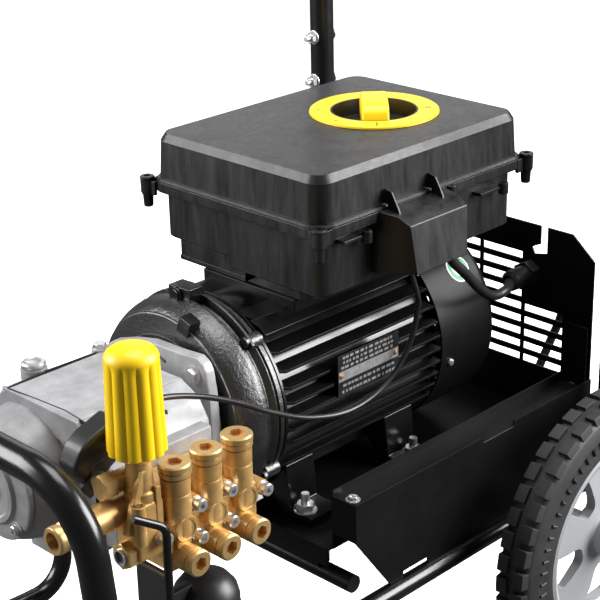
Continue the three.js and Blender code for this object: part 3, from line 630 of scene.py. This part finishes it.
def motor():
    body = Shape().turned([(95.5, 181), (101.5, 181), (101.5, 428), (95.5, 428)], *SHAFT, 96, closed=True)
    body.turned([(95.5, 416.5), (95.5, 427.5), (16, 427.5), (16, 416.5)], *SHAFT, 48, closed=True)
    body.turned([(100, 181), (113, 181), (113, 184), (100, 187)], *SHAFT, 96, closed=True)
    for _, s in (NEAR, FAR):
        for h in FIN_LEVELS:
            root, tip = math.sqrt(99 ** 2 - h * h), math.sqrt(117.4 ** 2 - h * h)
            low, high = h - 1.5, h + 1.5
            rings = []
            for x, reach in ((182, tip - 8), (190, tip), (427, tip)):
                rings.append([(x, s * root, h - 3.2), (x, s * reach, low), (x, s * reach, high),
                              (x, s * root, h + 3.2)])
            body.loft(rings, bevel=0.5, angle=40)
        pad = [(s * 56, 86), (s * 80.6, 86), (s * 71.5, 93.4), (s * 58, 97)]
        body.prism(pad, "x", 186, 427, bevel=0.8, angle=20)
        for a, b in ((201, 244), (360, 408)):
            foot = [(s * 84, -132), (s * 128, -132), (s * 128, -121), (s * 95, -119), (s * 90, -70),
                    (s * 50, -86)]
            body.prism(foot, "x", a, b, bevel=2)
    for y in (-64, -48, -32, -16, 0, 16, 32, 48, 64):
        root, tip = -math.sqrt(99 ** 2 - y * y), -math.sqrt(117.4 ** 2 - y * y)
        body.prism([(y - 3.2, root), (y - 1.5, tip), (y + 1.5, tip), (y + 3.2, root)], "x", 190, 427,
                   bevel=0.5, angle=40)
    body.piece("motor_body", PAINT, replaces=("motor_housing",))
    pad = Shape().box(190, 427, -60, 60, 92, 97, bevel=1)
    pad.box(238, 410, -72, 72, 92, 107.4, bevel=2)
    pad.piece("motor_top_pad", SATIN)

    shield = Shape().turned(
        [(19.2, 160.3), (101, 160.3), (103, 161.4), (110.8, 169.6), (111.6, 170.6), (111.6, 171.8),
         (109, 172.2), (109, 173.6), (112, 174), (112.6, 174.6), (112.6, 179.4), (112, 180),
         (94, 180.8), (90, 172), (19.2, 172)],
        *SHAFT, 96, closed=True)
    for deg in (48, 132, 212, 328):
        a = math.radians(deg)
        y, z = 112 * math.cos(a), 112 * math.sin(a)
        shield.rod((160.6, y, z), (181, y, z), 8.5, 20, bevel=1.5)
        shield.rod((156, y * 1.04, z * 1.04), (161, y * 1.04, z * 1.04), 6, 20, bevel=1)
    arc = [math.radians(deg) for deg in range(44, 137, 4)]
    sector = [(r * math.cos(a), r * math.sin(a)) for r,
              turn in ((122, arc), (100, arc[::-1])) for a in turn]
    shield.prism(sector, "x", 160.4, 164, bevel=0.7, angle=60)
    shield.piece("shield_casting", ROUGH_CAST, replaces=("motor_end_shield",))

    bell = Shape().turned(
        [(75.6, 113.8), (84, 113.8), (85, 115.6), (106.6, 116), (107.6, 116.8), (107.8, 118.4),
         (108.6, 119.4), (110.6, 121.6), (113, 125.4), (115.6, 131), (117.8, 138), (119, 145),
         (119.2, 148), (118.6, 149), (112, 149.6), (111, 151), (111, 157.4), (112, 158.6), (112, 160),
         (98, 160), (92, 125), (75.6, 125)], *SHAFT, 96, closed=True)
    lugs = Shape().take(Shape().box(111, 127, -8.5, 8.5, 104, 121.5, bevel=1).moved(about_shaft(109)))
    for deg in (88, 232, 308):
        lug = Shape().box(143, 164, -17, 17, 112, 131, bevel=1.6)
        lug.rod((140, 3, 122), (164, 3, 122), 9, 24, bevel=1)
        lug.hexnut((144, 3, 122), (-1, 0, 0), 13, 6)
        lugs.take(lug.moved(about_shaft(deg)))
    bell.piece("bell_casting", ROUGH_CAST, replaces=("bell_housing",))
    lugs.piece("bell_lugs", PAINT)

    cover = Shape().turned(
        [(118, 428.3), (118, 514), (117, 520), (113, 525), (108, 527), (16, 527), (16, 524.5),
         (107, 524.5), (111.5, 522), (115, 516), (115.5, 428.3)], *SHAFT, 96, closed=True)
    grille = Shape()
    for r, n in ((36, 10), (58, 16), (80, 22), (100, 28)):
        for k in range(n):
            a = 2 * math.pi * (k + 0.5) / n
            grille.rod((515, r * math.cos(a), r * math.sin(a)), (535, r * math.cos(a), r * math.sin(a)),
                       7, 12)
    cover.piece("cover_shell", SATIN, replaces=("fan_cover",), cutters=[grille])
    screws = Shape()
    for deg in (190.5, 349.5, 258, 78):
        a = math.radians(deg)
        y, z = math.cos(a), math.sin(a)
        screws.turned([(0, -1), (4.6, -1), (4.6, 1.4), (3.4, 3), (0, 3.4)], (445, 118 * y, 118 * z),
                      (0, y, z), 20)
    screws.piece("cover_screws", STEEL)


def nameplate():
    """Thin plate riveted over the fins, with generic rows of marks."""
    x0, x1, z0, z1, y = 254, 351, 1.5, 50, -118.6
    Shape().box(x0, x1, y - 0.8, y, z0, z1, bevel=0.3).piece("motor_nameplate", PLATE)
    Shape().box(x0 + 1, x1 - 1, y - 1.05, y - 0.7, z0 + 18, z0 + 29.5).piece("nameplate_band", PLATE_MARK)
    marks = Shape()
    draw = random.Random(7)
    for z in (z0 + 3.6, z0 + 10.8, z0 + 32, z0 + 37.6, z0 + 43.2):
        x = x0 + 4 + draw.random() * 6
        while x < x1 - 9:
            w = 2.4 + draw.random() * 4.5
            marks.box(x, x + w, y - 1.0, y - 0.7, z, z + 2.9)
            x += w + 1.3 + draw.random() * 2.2
    marks.piece("nameplate_lines", PLATE_MARK)
    rivets = Shape()
    for x in (x0 + 4.6, x1 - 5.7):
        rivets.turned([(0, 0), (2.8, 0), (2.4, 1.2), (0, 1.7)], (x, y - 0.9, z0 + 24), (0, -1, 0), 16)
    rivets.piece("nameplate_rivets", COPPER)


def cover_label():
    """Round green and white label on the fan cover, bent to its wall."""
    for name, r0, r1, lift, material in (("label_rim", 15.2, 17, 0.45, WHITE),
                                         ("label_ring", 9.5, 15.2, 0.4, GREEN),
                                         ("label_middle", 0.5, 9.5, 0.45, WHITE)):
        bm = bmesh.new()
        sides, layers = 48, 4
        grid = []
        for j in range(layers + 1):
            r = r0 + (r1 - r0) * j / layers
            for i in range(sides):
                a = 2 * math.pi * i / sides
                u, v = r * math.cos(a), r * math.sin(a)
                angle = math.radians(140) - v / 118
                grid.append((487 + u, angle))
        top = [bm.verts.new((x, (118 + lift) * math.cos(a), (118 + lift) * math.sin(a))) for x, a in grid]
        low = [bm.verts.new((x, 118 * math.cos(a), 118 * math.sin(a))) for x, a in grid]
        for j in range(layers):
            for i in range(sides):
                k = (i + 1) % sides
                a, b, c, d = j * sides + i, j * sides + k, (j + 1) * sides + k, (j + 1) * sides + i
                bm.faces.new([top[a], top[b], top[c], top[d]])
                bm.faces.new([low[d], low[c], low[b], low[a]])
        for i in range(sides):
            k = (i + 1) % sides
            bm.faces.new([top[k], top[i], low[i], low[k]])
            e = layers * sides
            bm.faces.new([top[e + i], top[e + k], low[e + k], low[e + i]])
        shape = Shape().add(bm)
        shape.piece(name, material)


# ---- pump ----------------------------------------------------------------------------------------
PITCH = 39.2
CYLINDERS = (-PITCH, 0.0, PITCH)
HEAD_Y = -131
FLANGE_BOLTS = ((-69, 69), (58, 54), (-70, -70), (70, -70))


def crankcase():
    section = [(-118, -42), (-96, -62), (-40, -74), (30, -74), (62, -50), (68, 0), (62, 48), (42, 76),
               (-78, 78), (-104, 66), (-118, 44)]
    flange = [(-70, -92), (70, -92), (84, -86), (92, -70), (92, 30), (80, 56), (60, 69), (30, 79),
              (0, 85.6), (-49, 87), (-72, 89), (-81, 84), (-86, 76), (-90, 53), (-92, 20), (-92, -70),
              (-84, -86)]
    case = Shape().prism(section, "x", -64, 72, bevel=5, angle=20, segments=3)
    case.turned([(0, -105), (56, -105), (60, -102), (64, -92), (70, -66), (72, -58), (74, 60), (66, 78),
                 (62, 88), (62, 113), (0, 113)],
                *SHAFT, 64)
    case.prism(flange, "x", 95.6, 108.6, bevel=2.5, angle=20)
    case.box(-64, 62, HEAD_Y + 0.3, -98, -44, 46, bevel=3)
    case.prism([(-92, 40), (-104, 58), (-80, 79), (38, 79), (30, 70)], "x", -66, -60, bevel=1.5)
    case.prism([(-20, -74), (20, -74), (20, -96), (-20, -96)], "x", -60, 60, bevel=2)
    case.box(-63, 60, -80, 28, 74, 79.6, bevel=1.2, segments=2)
    case.rod((-16, 50, 66), (-16, 50, 80), 14, 32, bevel=1.5)
    case.rod((57, 34, 66), (57, 34, 82), 9, 24, bevel=2)
    for y, z in ((-86, 52), (-100, 20), (-104, -14)):
        case.rod((-60, y, z), (62, y, z), 7, 20)
    case.piece("crankcase_casting", ALLOY, replaces=("pump_crankcase",))
    # Painted shade: the three black strips on the flange face stand in for the shade inside its slots; the
    # thin strips on the top are dark panel seams.
    slot_shade_and_seams = Shape()
    for y0, z0, y1, z1 in ((-8, 76, -24, 70), (-60, 26, -67, 13), (-84, -16, -86, -2)):
        slot_shade_and_seams.rod((96.2, y0, z0), (96.2, y1, z1), 1.9, 12)
    seams = (((-64, 29), (-60, -13), (-57, -54), (-61, -97)), ((-64, 29), (-15, 33.5), (58, 30)),
             ((9, -92), (8, -128)))
    for line in seams:
        for (x0, y0), (x1, y1) in zip(line, line[1:]):
            along = Vector((x1 - x0, y1 - y0)).normalized() * 0.7
            nx, ny = -along.y, along.x
            flat = [(x0 - nx, y0 - ny), (x1 - nx, y1 - ny), (x1 + nx, y1 + ny), (x0 + nx, y0 + ny)]
            slot_shade_and_seams.prism(flat, "z", 76, 79.9)
    slot_shade_and_seams.piece("crankcase_slot_shade_and_seams", DARK_PLASTIC)
    bolts = Shape()
    for y, z in FLANGE_BOLTS:
        bolts.turned([(0, 0), (10, 0), (10, 1.4), (0, 1.4)], (95.8, y, z), (-1, 0, 0), 28)
        bolts.hexnut((94.6, y, z), (-1, 0, 0), 14, 6.5)
    bolts.hexnut((57, 34, 82), (0, 0, 1), 13, 5)
    bolts.piece("crankcase_bolts", STEEL)

    cover = Shape().turned(
        [(0, -117), (14, -117), (16, -114.5), (30, -114.5), (32, -117), (37, -116.5), (40, -113),
         (56, -111), (58, -109), (58, -105.3), (51.5, -105.3), (51.5, -98), (22, -98), (22, -84),
         (12.3, -84), (12.3, -104), (0, -104)],
        *SHAFT, 64)
    for k in range(4):
        a = math.radians(45 + 90 * k)
        y, z = 50 * math.cos(a), 50 * math.sin(a)
        cover.rod((-106, y, z), (-113, y, z), 9, 24, bevel=1.2)
    cover.piece("bearing_cap_casting", ALLOY, replaces=("pump_bearing_cover",))
    screws = Shape()
    for k in range(4):
        a = math.radians(45 + 90 * k)
        screws.socket((-113, 50 * math.cos(a), 50 * math.sin(a)), (-1, 0, 0), 5.5, 5, 2.9, 3.5)
    screws.piece("bearing_cap_screws", STEEL)
    cap = Shape().rod((-16, 50, 46), (-16, 50, 81), 5.5, 20)
    cap.turned([(0, 80.3), (12.2, 80.3), (12.8, 81), (12.8, 84.6), (11.6, 86), (8, 86.4), (7, 85.6),
                (0, 85.4)], (-16, 50, 0), (0, 0, 1), 32)
    cap.piece("oil_cap_plug", STEEL, replaces=("oil_filler_cap",))


def brass_head():
    block = Shape().box(-55.5, 58, -158, HEAD_Y, -44, 30, bevel=2)
    block.box(-55, 58, -196, -150, -44, 10, bevel=3)
    for x in CYLINDERS:
        block.turned([(0, -6), (14.2, -6), (14.2, 34), (13.4, 35), (13.4, 36.4), (14.2, 37.4),
                      (14.3, 51.6), (0, 51.6)],
                     (x, -190.6, 0), (0, 0, 1), 48)
        block.rod((x, -150, -30), (x, -212, -30), 13.4, 40, bevel=0.6)
        block.rod((x, -150, 0), (x, -202, 0), 13.9, 40, bevel=0.6)
        block.box(x - 9, x + 9, -200, -170, -32, 10, bevel=2)
        block.box(x - 7, x + 7, -178, -150, 6, 40, bevel=2)
    for x in (-PITCH / 2, PITCH / 2):
        for z in (17, -17):
            block.rod((x, -160, z), (x, -196.5, z), 8.2, 24, bevel=1)
    for x in (-63, 65.5):
        block.rod((x, -160, -1), (x, -196.5, -1), 8, 24, bevel=1)
        block.box(min(x, x * 0.7), max(x, x * 0.7), -194, -162, -7, 5, bevel=1.5)
    block.piece("head_forging", BRASS, replaces=("pump_head",))
    rings = Shape()
    for x in CYLINDERS:
        rings.turned([(0, 200), (12.8, 200), (13.2, 203.2), (12.4, 204.7), (10.2, 204.7), (9.6, 203.6),
                      (0, 203.6)],
                     (x, 0, 0), (0, -1, 0), 48)
    rings.piece("head_discs", TURNED_Y)
    screws = Shape()
    spots = [(x, z) for x in (-PITCH / 2, PITCH / 2) for z in (17, -17)] + [(-63, -1), (65.5, -1)]
    for x, z in spots:
        screws.turned([(0, 0), (7.6, 0), (7.6, 1.2), (0, 1.2)], (x, -196.4, z), (0, -1, 0), 28)
        screws.socket((x, -197.6, z), (0, -1, 0), 6.4, 8, 3.5, 5, foot=0.2)
    screws.piece("head_screws", STEEL)

    for i, x in enumerate(CYLINDERS):
        top = Shape().turned([(0, 34), (8.5, 34), (8.5, 52), (12.6, 52), (12.6, 53), (0, 53)],
                             (x, -190.6, 0), (0, 0, 1), 40)
        top.socket((x, -190.6, 60.2), (0, 0, 1), 15.8, 6.2, 8, 4.6, chamfer=1.4, sides=48)
        top.turned([(0, 52.4), (13.4, 52.4), (13.4, 53.6), (15.2, 54), (15.4, 55), (15.2, 58.2),
                    (14, 58.6), (14, 60.4), (0, 60.4)],
                   (x, -190.6, 0), (0, 0, 1), 48)
        top.piece(f"discharge_plug_{i + 1}_body", TURNED_Z, replaces=(f"discharge_valve_plug_{i + 1}",))
        low = Shape().turned([(0, 194), (8.5, 194), (8.5, 212), (12.4, 212), (12.4, 213.4), (0, 213.4)],
                             (x, 0, -30), (0, -1, 0), 40)
        low.socket((x, -213, -30), (0, -1, 0), 13.5, 8.2, 7.2, 6.5, chamfer=1.6, sides=48)
        low.piece(f"suction_plug_{i + 1}_body", TURNED_Y, replaces=(f"suction_valve_plug_{i + 1}",))
    recesses = Shape()
    for x in CYLINDERS:
        recesses.turned([(0, 61.6), (7.4, 61.6), (7.4, 62.2), (0, 62.2)], (x, -190.6, 0), (0, 0, 1), 24)
        recesses.turned([(0, 214.9), (6.8, 214.9), (6.8, 215.5), (0, 215.5)], (x, 0, -30), (0, -1, 0), 24)
    recesses.piece("plug_recess_floors", COPPER)


KNOB = (-71, -178, 86)


def unloader():
    x, y, _ = KNOB
    body = Shape().turned([(7.5, -2), (14.6, -2), (15, 0), (15, 46), (13, 48), (13, 66), (12, 68),
                           (12, 77), (11, 78), (7.5, 78)],
                          (x, y, 0), (0, 0, 1), 48, closed=True)
    body.box(-88, -56, -194, -160, -20, 38, bevel=4)
    body.turned([(0, -60), (14.6, -60), (14.6, -134), (13.8, -135), (13.8, -141), (8.5, -141),
                 (8.5, -95), (0, -95)],
                (0, -165, 25), (1, 0, 0), 48)
    body.rod((-60, -178, -14), (-84, -178, -14), 11, 28, bevel=1)
    body.prism([(-84, -4), (-97, -8), (-97, -22), (-84, -26)], "y", -186, -168, bevel=2)
    body.rod((-86, -193, 0), (-86, -193, 40), 6.5, 24, bevel=0.8)
    body.prism([(-99, 12), (-78, 70), (-71, 70), (-88, 8)], "y", -190, -183, bevel=1.2)
    body.box(-66, -60, -195, -186, 12, 52, bevel=1)
    body.piece("unloader_forging", BRASS, replaces=("unloader_body",))
    fittings = Shape().hexnut((-92, -162, 54), (-1, 0, 0), 23, 14)
    fittings.rod((-70, -162, 54), (-92, -162, 54), 9.5, 28)
    fittings.hexnut((-84, -178, -14), (-1, 0, 0), 24, 14, bore=8.5)
    fittings.piece("unloader_fittings", TURNED_Y)
    outlet = Shape().turned([(9, 141.3), (9, 163), (12.5, 163), (13.4, 161.8), (13.8, 160), (13.8, 156),
                             (12.6, 155), (12.6, 152), (13.8, 151), (13.8, 141.3)], (0, -165, 25),
                             (-1, 0, 0), 48, closed=True)
    outlet.piece("outlet_coupling", TURNED_Y, replaces=("pressure_outlet",))
    sleeve = Shape().turned([(8.4, 98), (6.4, 98), (6.4, 100.6), (8.4, 100.6)], (0, -178, -14),
                            (-1, 0, 0), 32, closed=True)
    sleeve.piece("inlet_sleeve", STEEL)
    # Painted shade: thin black discs in the inlet bore and on top of the small column stand in for the dark
    # inside these holes.
    bore_shade = Shape().turned([(0, 97), (8.3, 97), (8.3, 97.6), (0, 97.6)], (0, -178, -14), (-1, 0, 0), 24)
    bore_shade.turned([(0, 11), (4.2, 11), (4.2, 40.4), (0, 40.4)], (-86, -193, 0), (0, 0, 1), 20)
    bore_shade.piece("unloader_bore_painted_shade", DARK_PLASTIC)
    spindle = Shape().turned([(0, 28), (6.6, 28), (6.9, 30), (6.9, 147), (6, 148), (0, 148)], (x, y, 0),
                             (0, 0, 1), 28)
    spindle.piece("spindle_rod", STEEL, "pressure_screw", ("unloader_spindle",))


def knob():
    """Yellow hand knob: twelve soft ribs under a domed cap."""
    x, y, z = KNOB
    ribs, per_rib = 12, 16
    heights = [0, 0.8, 2.5, 20, 40, 60, 78, 84, 88, 91, 93, 96, 99, 101.5, 103.5, 104.6, 105]
    rings = []
    for h in heights:
        t = h / 105
        base = 27.9 - 3.2 * t
        fade = 1.0 if h < 84 else max(0.0, 1 - (h - 84) / 8)
        if h > 93:
            base = 24.7 * math.sqrt(max(0.0004, 1 - ((h - 93) / 12.02) ** 2)) ** 0.9
        if h == 0:
            base -= 1.2
        ring = []
        for i in range(ribs * per_rib):
            a = 2 * math.pi * i / (ribs * per_rib)
            wave = abs(math.sin(a * ribs / 2)) ** 0.7
            r = base - (2.6 * fade) * (1 - wave)
            ring.append((x + r * math.cos(a), y + r * math.sin(a), z + h))
        rings.append(ring)
    shape = Shape().loft(rings)
    bore = Shape().rod((x, y, z - 2), (x, y, z + 60), 9, 32)
    shape.piece("knob_grip", YELLOW, "pressure_hand_knob", ("pressure_knob",), smooth=50, cutters=[bore])


def pump_trim():
    switch = Shape()
    elbow = [(-120, 74), (-118, 63), (-109, 56), (-101, 45), (-88, 45), (-80, 58), (-66, 66),
             (-66, 108), (-97, 98), (-110, 90)]
    switch.prism(elbow, "y", -148, -121, bevel=4, angle=15, segments=3)
    band = [(-104, 70), (-100, 58), (-84, 62), (-87, 74)]
    switch.prism(band, "y", -149.4, -146, bevel=1, angle=15)
    switch.rod((-99, -140, 54), (-94, -149, 46), 13.6, 32, bevel=1)
    switch.piece("microswitch_shell", DARK_PLASTIC, replaces=("microswitch_housing",))
    hook = bent([(-112, -217, 47), (-83, -227, 30), (-85, -226, -192), (-124, -234, -214)], 14, 6)
    Shape().tube(hook, 4, 20).piece("hook_bar", PAINT, replaces=("gun_hook",))
    bowl = Shape().turned(
        [(0, -168), (18, -168), (26, -166), (31, -161), (33, -156), (33.5, -128), (35.5, -126),
         (35.5, -116), (33.5, -114), (33.5, -102), (31, -92), (24, -83), (16, -78), (0, -76)],
         (4, -176, 0), (0, 0, 1), 48)
    for k in range(16):
        a = 2 * math.pi * k / 16
        u, v = math.cos(a), math.sin(a)
        bowl.rod((4 + 32.5 * u, -176 + 32.5 * v, -160), (4 + 33 * u, -176 + 33 * v, -130), 1.8, 8)
    bowl.box(-60, 4, -180, -172, -112, -80, bevel=1.5)
    bowl.box(-60, -52, -196, -150, -112, -46.3, bevel=1.5)
    bowl.piece("filter_bowl", DARK_PLASTIC, replaces=("inlet_filter",))


# ---- control box ---------------------------------------------------------------------------------
BOX = {"x0": 225, "x1": 553, "near": -125, "far": 130}
BOX_CORNERS = [(x, y) for x in (219, 560) for y in (-129, 137)]
DIAL = (444, 0)


def outline(grow, r, z):
    box = rounded(BOX["x0"] - grow, BOX["x1"] + grow, BOX["near"] - grow, BOX["far"] + grow, r, 8)
    return [(u, v, z) for u, v in box]


def control_box():
    base = Shape()
    for low, near, far, near_r, far_r in ((124, BOX["near"] + 4, 16, 18, 0.1),
                                          (137, 15.9, BOX["far"] - 4, 0.1, 18)):
        rings = []
        for z, inset in ((low, 1.2), (low + 1.2, 0), (193, 0)):
            ring = []
            for x, y, r, start in ((-1, near, near_r, 180), (1, near, near_r, 270), (1, far, far_r, 0),
                                   (-1, far, far_r, 90)):
                edge = inset if r > 1 else 0
                cx = BOX["x1"] - 4 - inset - r if x > 0 else BOX["x0"] + 4 + inset + r
                cy = y + edge + r if start >= 180 else y - edge - r
                for k in range(9):
                    a = math.radians(start + 90 * k / 8)
                    ring.append((cx + r * math.cos(a), cy + r * math.sin(a), z))
            rings.append(ring)
        base.loft(rings)
    base.loft([outline(6.5, 24, z) for z in (191, 202.9)], bevel=1, angle=60)
    base.box(231, 421, -5, 100, 113.4, 139, bevel=1)
    base.box(230.2, 421, -5, 101, 113.2, 118.5, bevel=0.6)
    base.loft([[(u, v, z) for u, v in rounded(242, 420, -88, 88, 14, 6)] for z in (108, 130)])
    for x, y in BOX_CORNERS:
        base.turned([(0, 171), (4.6, 171), (5.4, 172), (6, 184), (8, 188), (8.2, 202.9), (0, 202.9)],
                    (x, y, 0), (0, 0, 1), 32)
        sx, sy = (1 if x < 400 else -1), (1 if y < 0 else -1)
        base.box(min(x, x + 18 * sx), max(x, x + 18 * sx), y - 2, y + 2, 186, 202, bevel=0.8)
        base.box(x - 2, x + 2, min(y, y + 14 * sy), max(y, y + 14 * sy), 186, 202, bevel=0.8)
    for wall, y in ((-118, -133), (124, 138)):
        for x, z, arm in ((286, 182, -34), (514, 177, -40), (422, 197, -6)):
            base.turned([(2.2, z - 7), (5.4, z - 7), (5.8, z - 6), (5.8, z + 5), (5.4, z + 6),
                         (2.2, z + 6)],
                        (x, y, 0), (0, 0, 1), 24, closed=True)
            base.box(x + arm, x - 3, min(y, wall), max(y, wall), z - 1.6, z + 2.4, bevel=0.8)
    base.piece("box_base_shell", PLASTIC, replaces=("control_box_base",), smooth=25)

    lid = Shape().loft([outline(2.6, 21, 204), outline(2.0, 20.6, 209), outline(0, 20, 248.6),
                        outline(-5, 16, 256.9)])
    flange = Shape().loft([outline(6.5, 24, 203.1), outline(6.5, 24, 204.2), outline(4.4, 22, 206.4)])
    for x, y in BOX_CORNERS:
        flange.turned([(3.6, 203.4), (8.2, 203.4), (8.4, 204.2), (8.2, 205.8), (7.4, 206.6),
                       (3.6, 206.6)], (x, y, 0), (0, 0, 1), 32,
                   closed=True)
    dish = Shape().turned([(0, 236), (45, 236), (48.6, 240), (49, 244), (49, 266), (0, 266)],
                          (*DIAL, 0), (0, 0, 1), 64)
    lid.piece("box_lid_shell", PLASTIC, replaces=("control_box_lid",), cutters=[dish], smooth=20)
    flange.piece("box_lid_flange", PLASTIC, smooth=20)
    screws = Shape()
    for x, y in BOX_CORNERS:
        screws.socket((x, y, 202.5), (0, 0, 1), 3.4, 2.6, 1.7, 1.6)
    screws.piece("box_screws", DARK_PLASTIC)


def dial():
    ring = Shape().turned([(49.8, 257.1), (50.2, 259.2), (51, 259.6), (72.8, 259.6), (73.7, 259),
                           (74, 257.1)],
                          (*DIAL, 0), (0, 0, 1), 96, closed=True)
    ring.piece("dial_face", YELLOW, replaces=("dial_ring",))
    wall = Shape().turned([(46.5, 236.4), (48.9, 242), (49.6, 257.3), (49.6, 259.2), (48.2, 259.2),
                           (46.8, 244), (44.5, 236.4)],
                          (*DIAL, 0), (0, 0, 1), 96, closed=True)
    wall.piece("dial_well", DARK_PLASTIC)
    marks = Shape()
    for deg, r0, r1 in ((225, 56, 68), (135, 60, 66), (180, 60, 66)):
        a = math.radians(deg)
        u, v = Vector((math.cos(a), math.sin(a), 0)), Vector((-math.sin(a), math.cos(a), 0))
        at = Vector((*DIAL, 259.55))
        marks.loft([[at + u * r + v * w + Vector((0, 0, h)) for r,
                     w in ((r0, -0.7), (r1, -0.7), (r1, 0.7), (r0, 0.7))] for h in (0, 0.25)])
    a = math.radians(315)
    spot = (DIAL[0] + 61 * math.cos(a), DIAL[1] + 61 * math.sin(a), 0)
    marks.turned([(2.2, 259.5), (3.2, 259.5), (3.2, 259.8), (2.2, 259.8)], spot, (0, 0, 1), 24, closed=True)
    marks.piece("dial_marks", DARK_PLASTIC)

    swing = Matrix.Translation((*DIAL, 0)) @ Matrix.Rotation(math.pi / 4, 4, "Z")
    arch = [(-41, 242), (41, 242), (41, 256), (37, 266), (30, 272), (15, 274), (-15, 274), (-30, 272),
            (-37, 266), (-41, 256)]
    lever = Shape().prism(arch, "y", -15.2, 15.2, bevel=2.6, angle=12, segments=3).moved(swing)
    lever.piece("selector_lever", YELLOW, "selector", ("selector_knob",))
    cheeks = Shape()
    cheeks.turned([(0, 238.4), (43.4, 238.4), (44, 239.4), (44, 242), (42, 243.4), (0, 243.4)],
                  (0, 0, 0), (0, 0, 1), 64)
    cheeks.rod((0, 0, 212), (0, 0, 240), 6, 24)
    cheeks.moved(swing).piece("selector_base", DARK_PLASTIC, "selector")


def cable_hood():
    refined("cable_hood", PLASTIC, 0.9)


# ---- leads and gland -----------------------------------------------------------------------------
CONTROL_LEAD = [
    (336, -142, 148), (350, -146, 104), (357, -142, 80), (351, -134, 34), (317, -130, -1), (263, -128, -13),
    (201, -128, 1), (142, -130, 30), (98, -133, 57), (42, -138, 86), (-8, -140, 103), (-52, -137, 104.5),
]
MOTOR_LEAD = [
    (394, -148, 150), (398, -148, 137), (409, -148, 121), (431, -147, 101), (456, -145, 77),
    (480, -143, 59), (497, -141, 53), (516, -138, 52), (536, -128, 48), (554, -114, 43.5),
]


def leads():
    Shape().tube(smooth_path(CONTROL_LEAD, 10), 3, 16).piece("control_lead_cable", CABLE,
                                                             replaces=("control_lead",))
    Shape().tube(smooth_path(MOTOR_LEAD, 10), 5.8, 20).piece("motor_lead_cable", CABLE,
                                                             replaces=("motor_lead",))
    gland = Shape().turned(
        [(6.1, 556), (8.5, 556), (12.2, 560), (12.8, 574), (12.2, 576), (12.2, 584), (12.2, 599.7),
         (12.2, 610), (9, 618), (7, 624), (6.1, 624)],
        (0, -111, 43), (1, 0, 0), 40, closed=True)
    for low, high in ((586, 599.7), (602.3, 609)):
        rings = [hexagon((x, -111, 43), (1, 0, 0), 17, 24) for x in (low, high)]
        gland.loft(rings, bevel=0.8, angle=30)
    gland.piece("gland_body", DARK_PLASTIC, replaces=("cable_gland",))


def motor_feet_bolts():
    bolts = Shape()
    for x in (211, 389):
        for _, s in (NEAR, FAR):
            y = s * 108.5
            bolts.hexnut((x, y, -121), (0, 0, 1), 18, 8, washer=13)
            bolts.rod((x, y, -112), (x, y, -100), 4.8, 20, bevel=0.8)
    bolts.piece("foot_bolts", STEEL)


INNER = {
    "wheel_axle": (STEEL, 0.4), "cooling_fan": (DARK_PLASTIC, 0), "stator_core": (STEEL, 0),
    "stator_winding": (WINDING, 0), "motor_rotor": (STEEL, 0), "crankshaft": (STEEL, 0),
    "switch_body": (GREY_PLASTIC, 0.6), "contactor": (GREY_PLASTIC, 0.6),
    **{f"connecting_rod_{n}": (ALLOY, 0) for n in (1, 2, 3)},
    **{f"plunger_{n}": (CERAMIC, 0) for n in (1, 2, 3)},
}


# ---- stage ---------------------------------------------------------------------------------------
# name, place, aim, size and watts
SOFTBOXES = (
    ("softbox_left", (-1.45, 1.45, 1.3), (0, 0, 0.45), (1.5, 1.4), 80),
    ("softbox_right", (1.45, -1.5, 1.3), (0, 0, 0.45), (1.5, 1.4), 125),
    ("softbox_top", (0.25, -0.1, 2.7), (0, 0, 0.4), (1.3, 1.3), 42),
    ("softbox_rear", (1.5, 1.5, 1.35), (0, 0, 0.5), (1.6, 1.2), 7),
)
FLOOR_DROP = 0.0005
FLOOR_GLOW, WORLD_GLOW = 0.8, 0.14


def area_light(name, at, aim, size, power):
    light = bpy.data.lights.new(name, "AREA")
    light.shape, light.size, light.size_y, light.energy = "RECTANGLE", size[0], size[1], power
    obj = bpy.data.objects.new(name, light)
    bpy.context.scene.collection.objects.link(obj)
    obj.location = at
    obj.rotation_mode = "QUATERNION"
    obj.rotation_quaternion = (Vector(aim) - Vector(at)).to_track_quat("-Z", "Y")


def stage():
    mesh = bpy.data.meshes.new("floor")
    bm = bmesh.new()
    bmesh.ops.create_grid(bm, x_segments=1, y_segments=1, size=30)
    bm.to_mesh(mesh)
    bm.free()
    floor = bpy.data.objects.new("floor", mesh)
    floor.location.z = -FLOOR_DROP
    bpy.context.scene.collection.objects.link(floor)
    paper = surface("pale_floor", (0.93, 0.93, 0.93), 0.8, tone=0.01, grain=0.03)
    glow = paper.node_tree.nodes["Principled BSDF"].inputs
    glow["Emission Color"].default_value = (1, 1, 1, 1)
    glow["Emission Strength"].default_value = FLOOR_GLOW
    mesh.materials.append(paper)
    floor.visible_glossy = floor.visible_diffuse = False
    world = bpy.data.worlds.new("studio")
    world.use_nodes = True
    sky = world.node_tree.nodes["Background"].inputs
    sky["Color"].default_value = (1, 1, 1, 1)
    sky["Strength"].default_value = WORLD_GLOW
    bpy.context.scene.world = world
    for softbox in SOFTBOXES:
        area_light(*softbox)
    bpy.context.scene.view_settings.view_transform = "Standard"
    bpy.context.scene.view_settings.exposure = 0.0


plug, pins = mains_plug()
pins.parent = plug
pins.matrix_parent_inverse = Matrix.Identity(4)
tube_frame()
push_handle()
wheel(*NEAR)
wheel(*FAR)
sheet_metal()
motor()
nameplate()
cover_label()
crankcase()
brass_head()
unloader()
knob()
pump_trim()
control_box()
dial()
cable_hood()
leads()
motor_feet_bolts()
for node, (material, bevel) in INNER.items():
    refined(node, material, bevel)
stage()
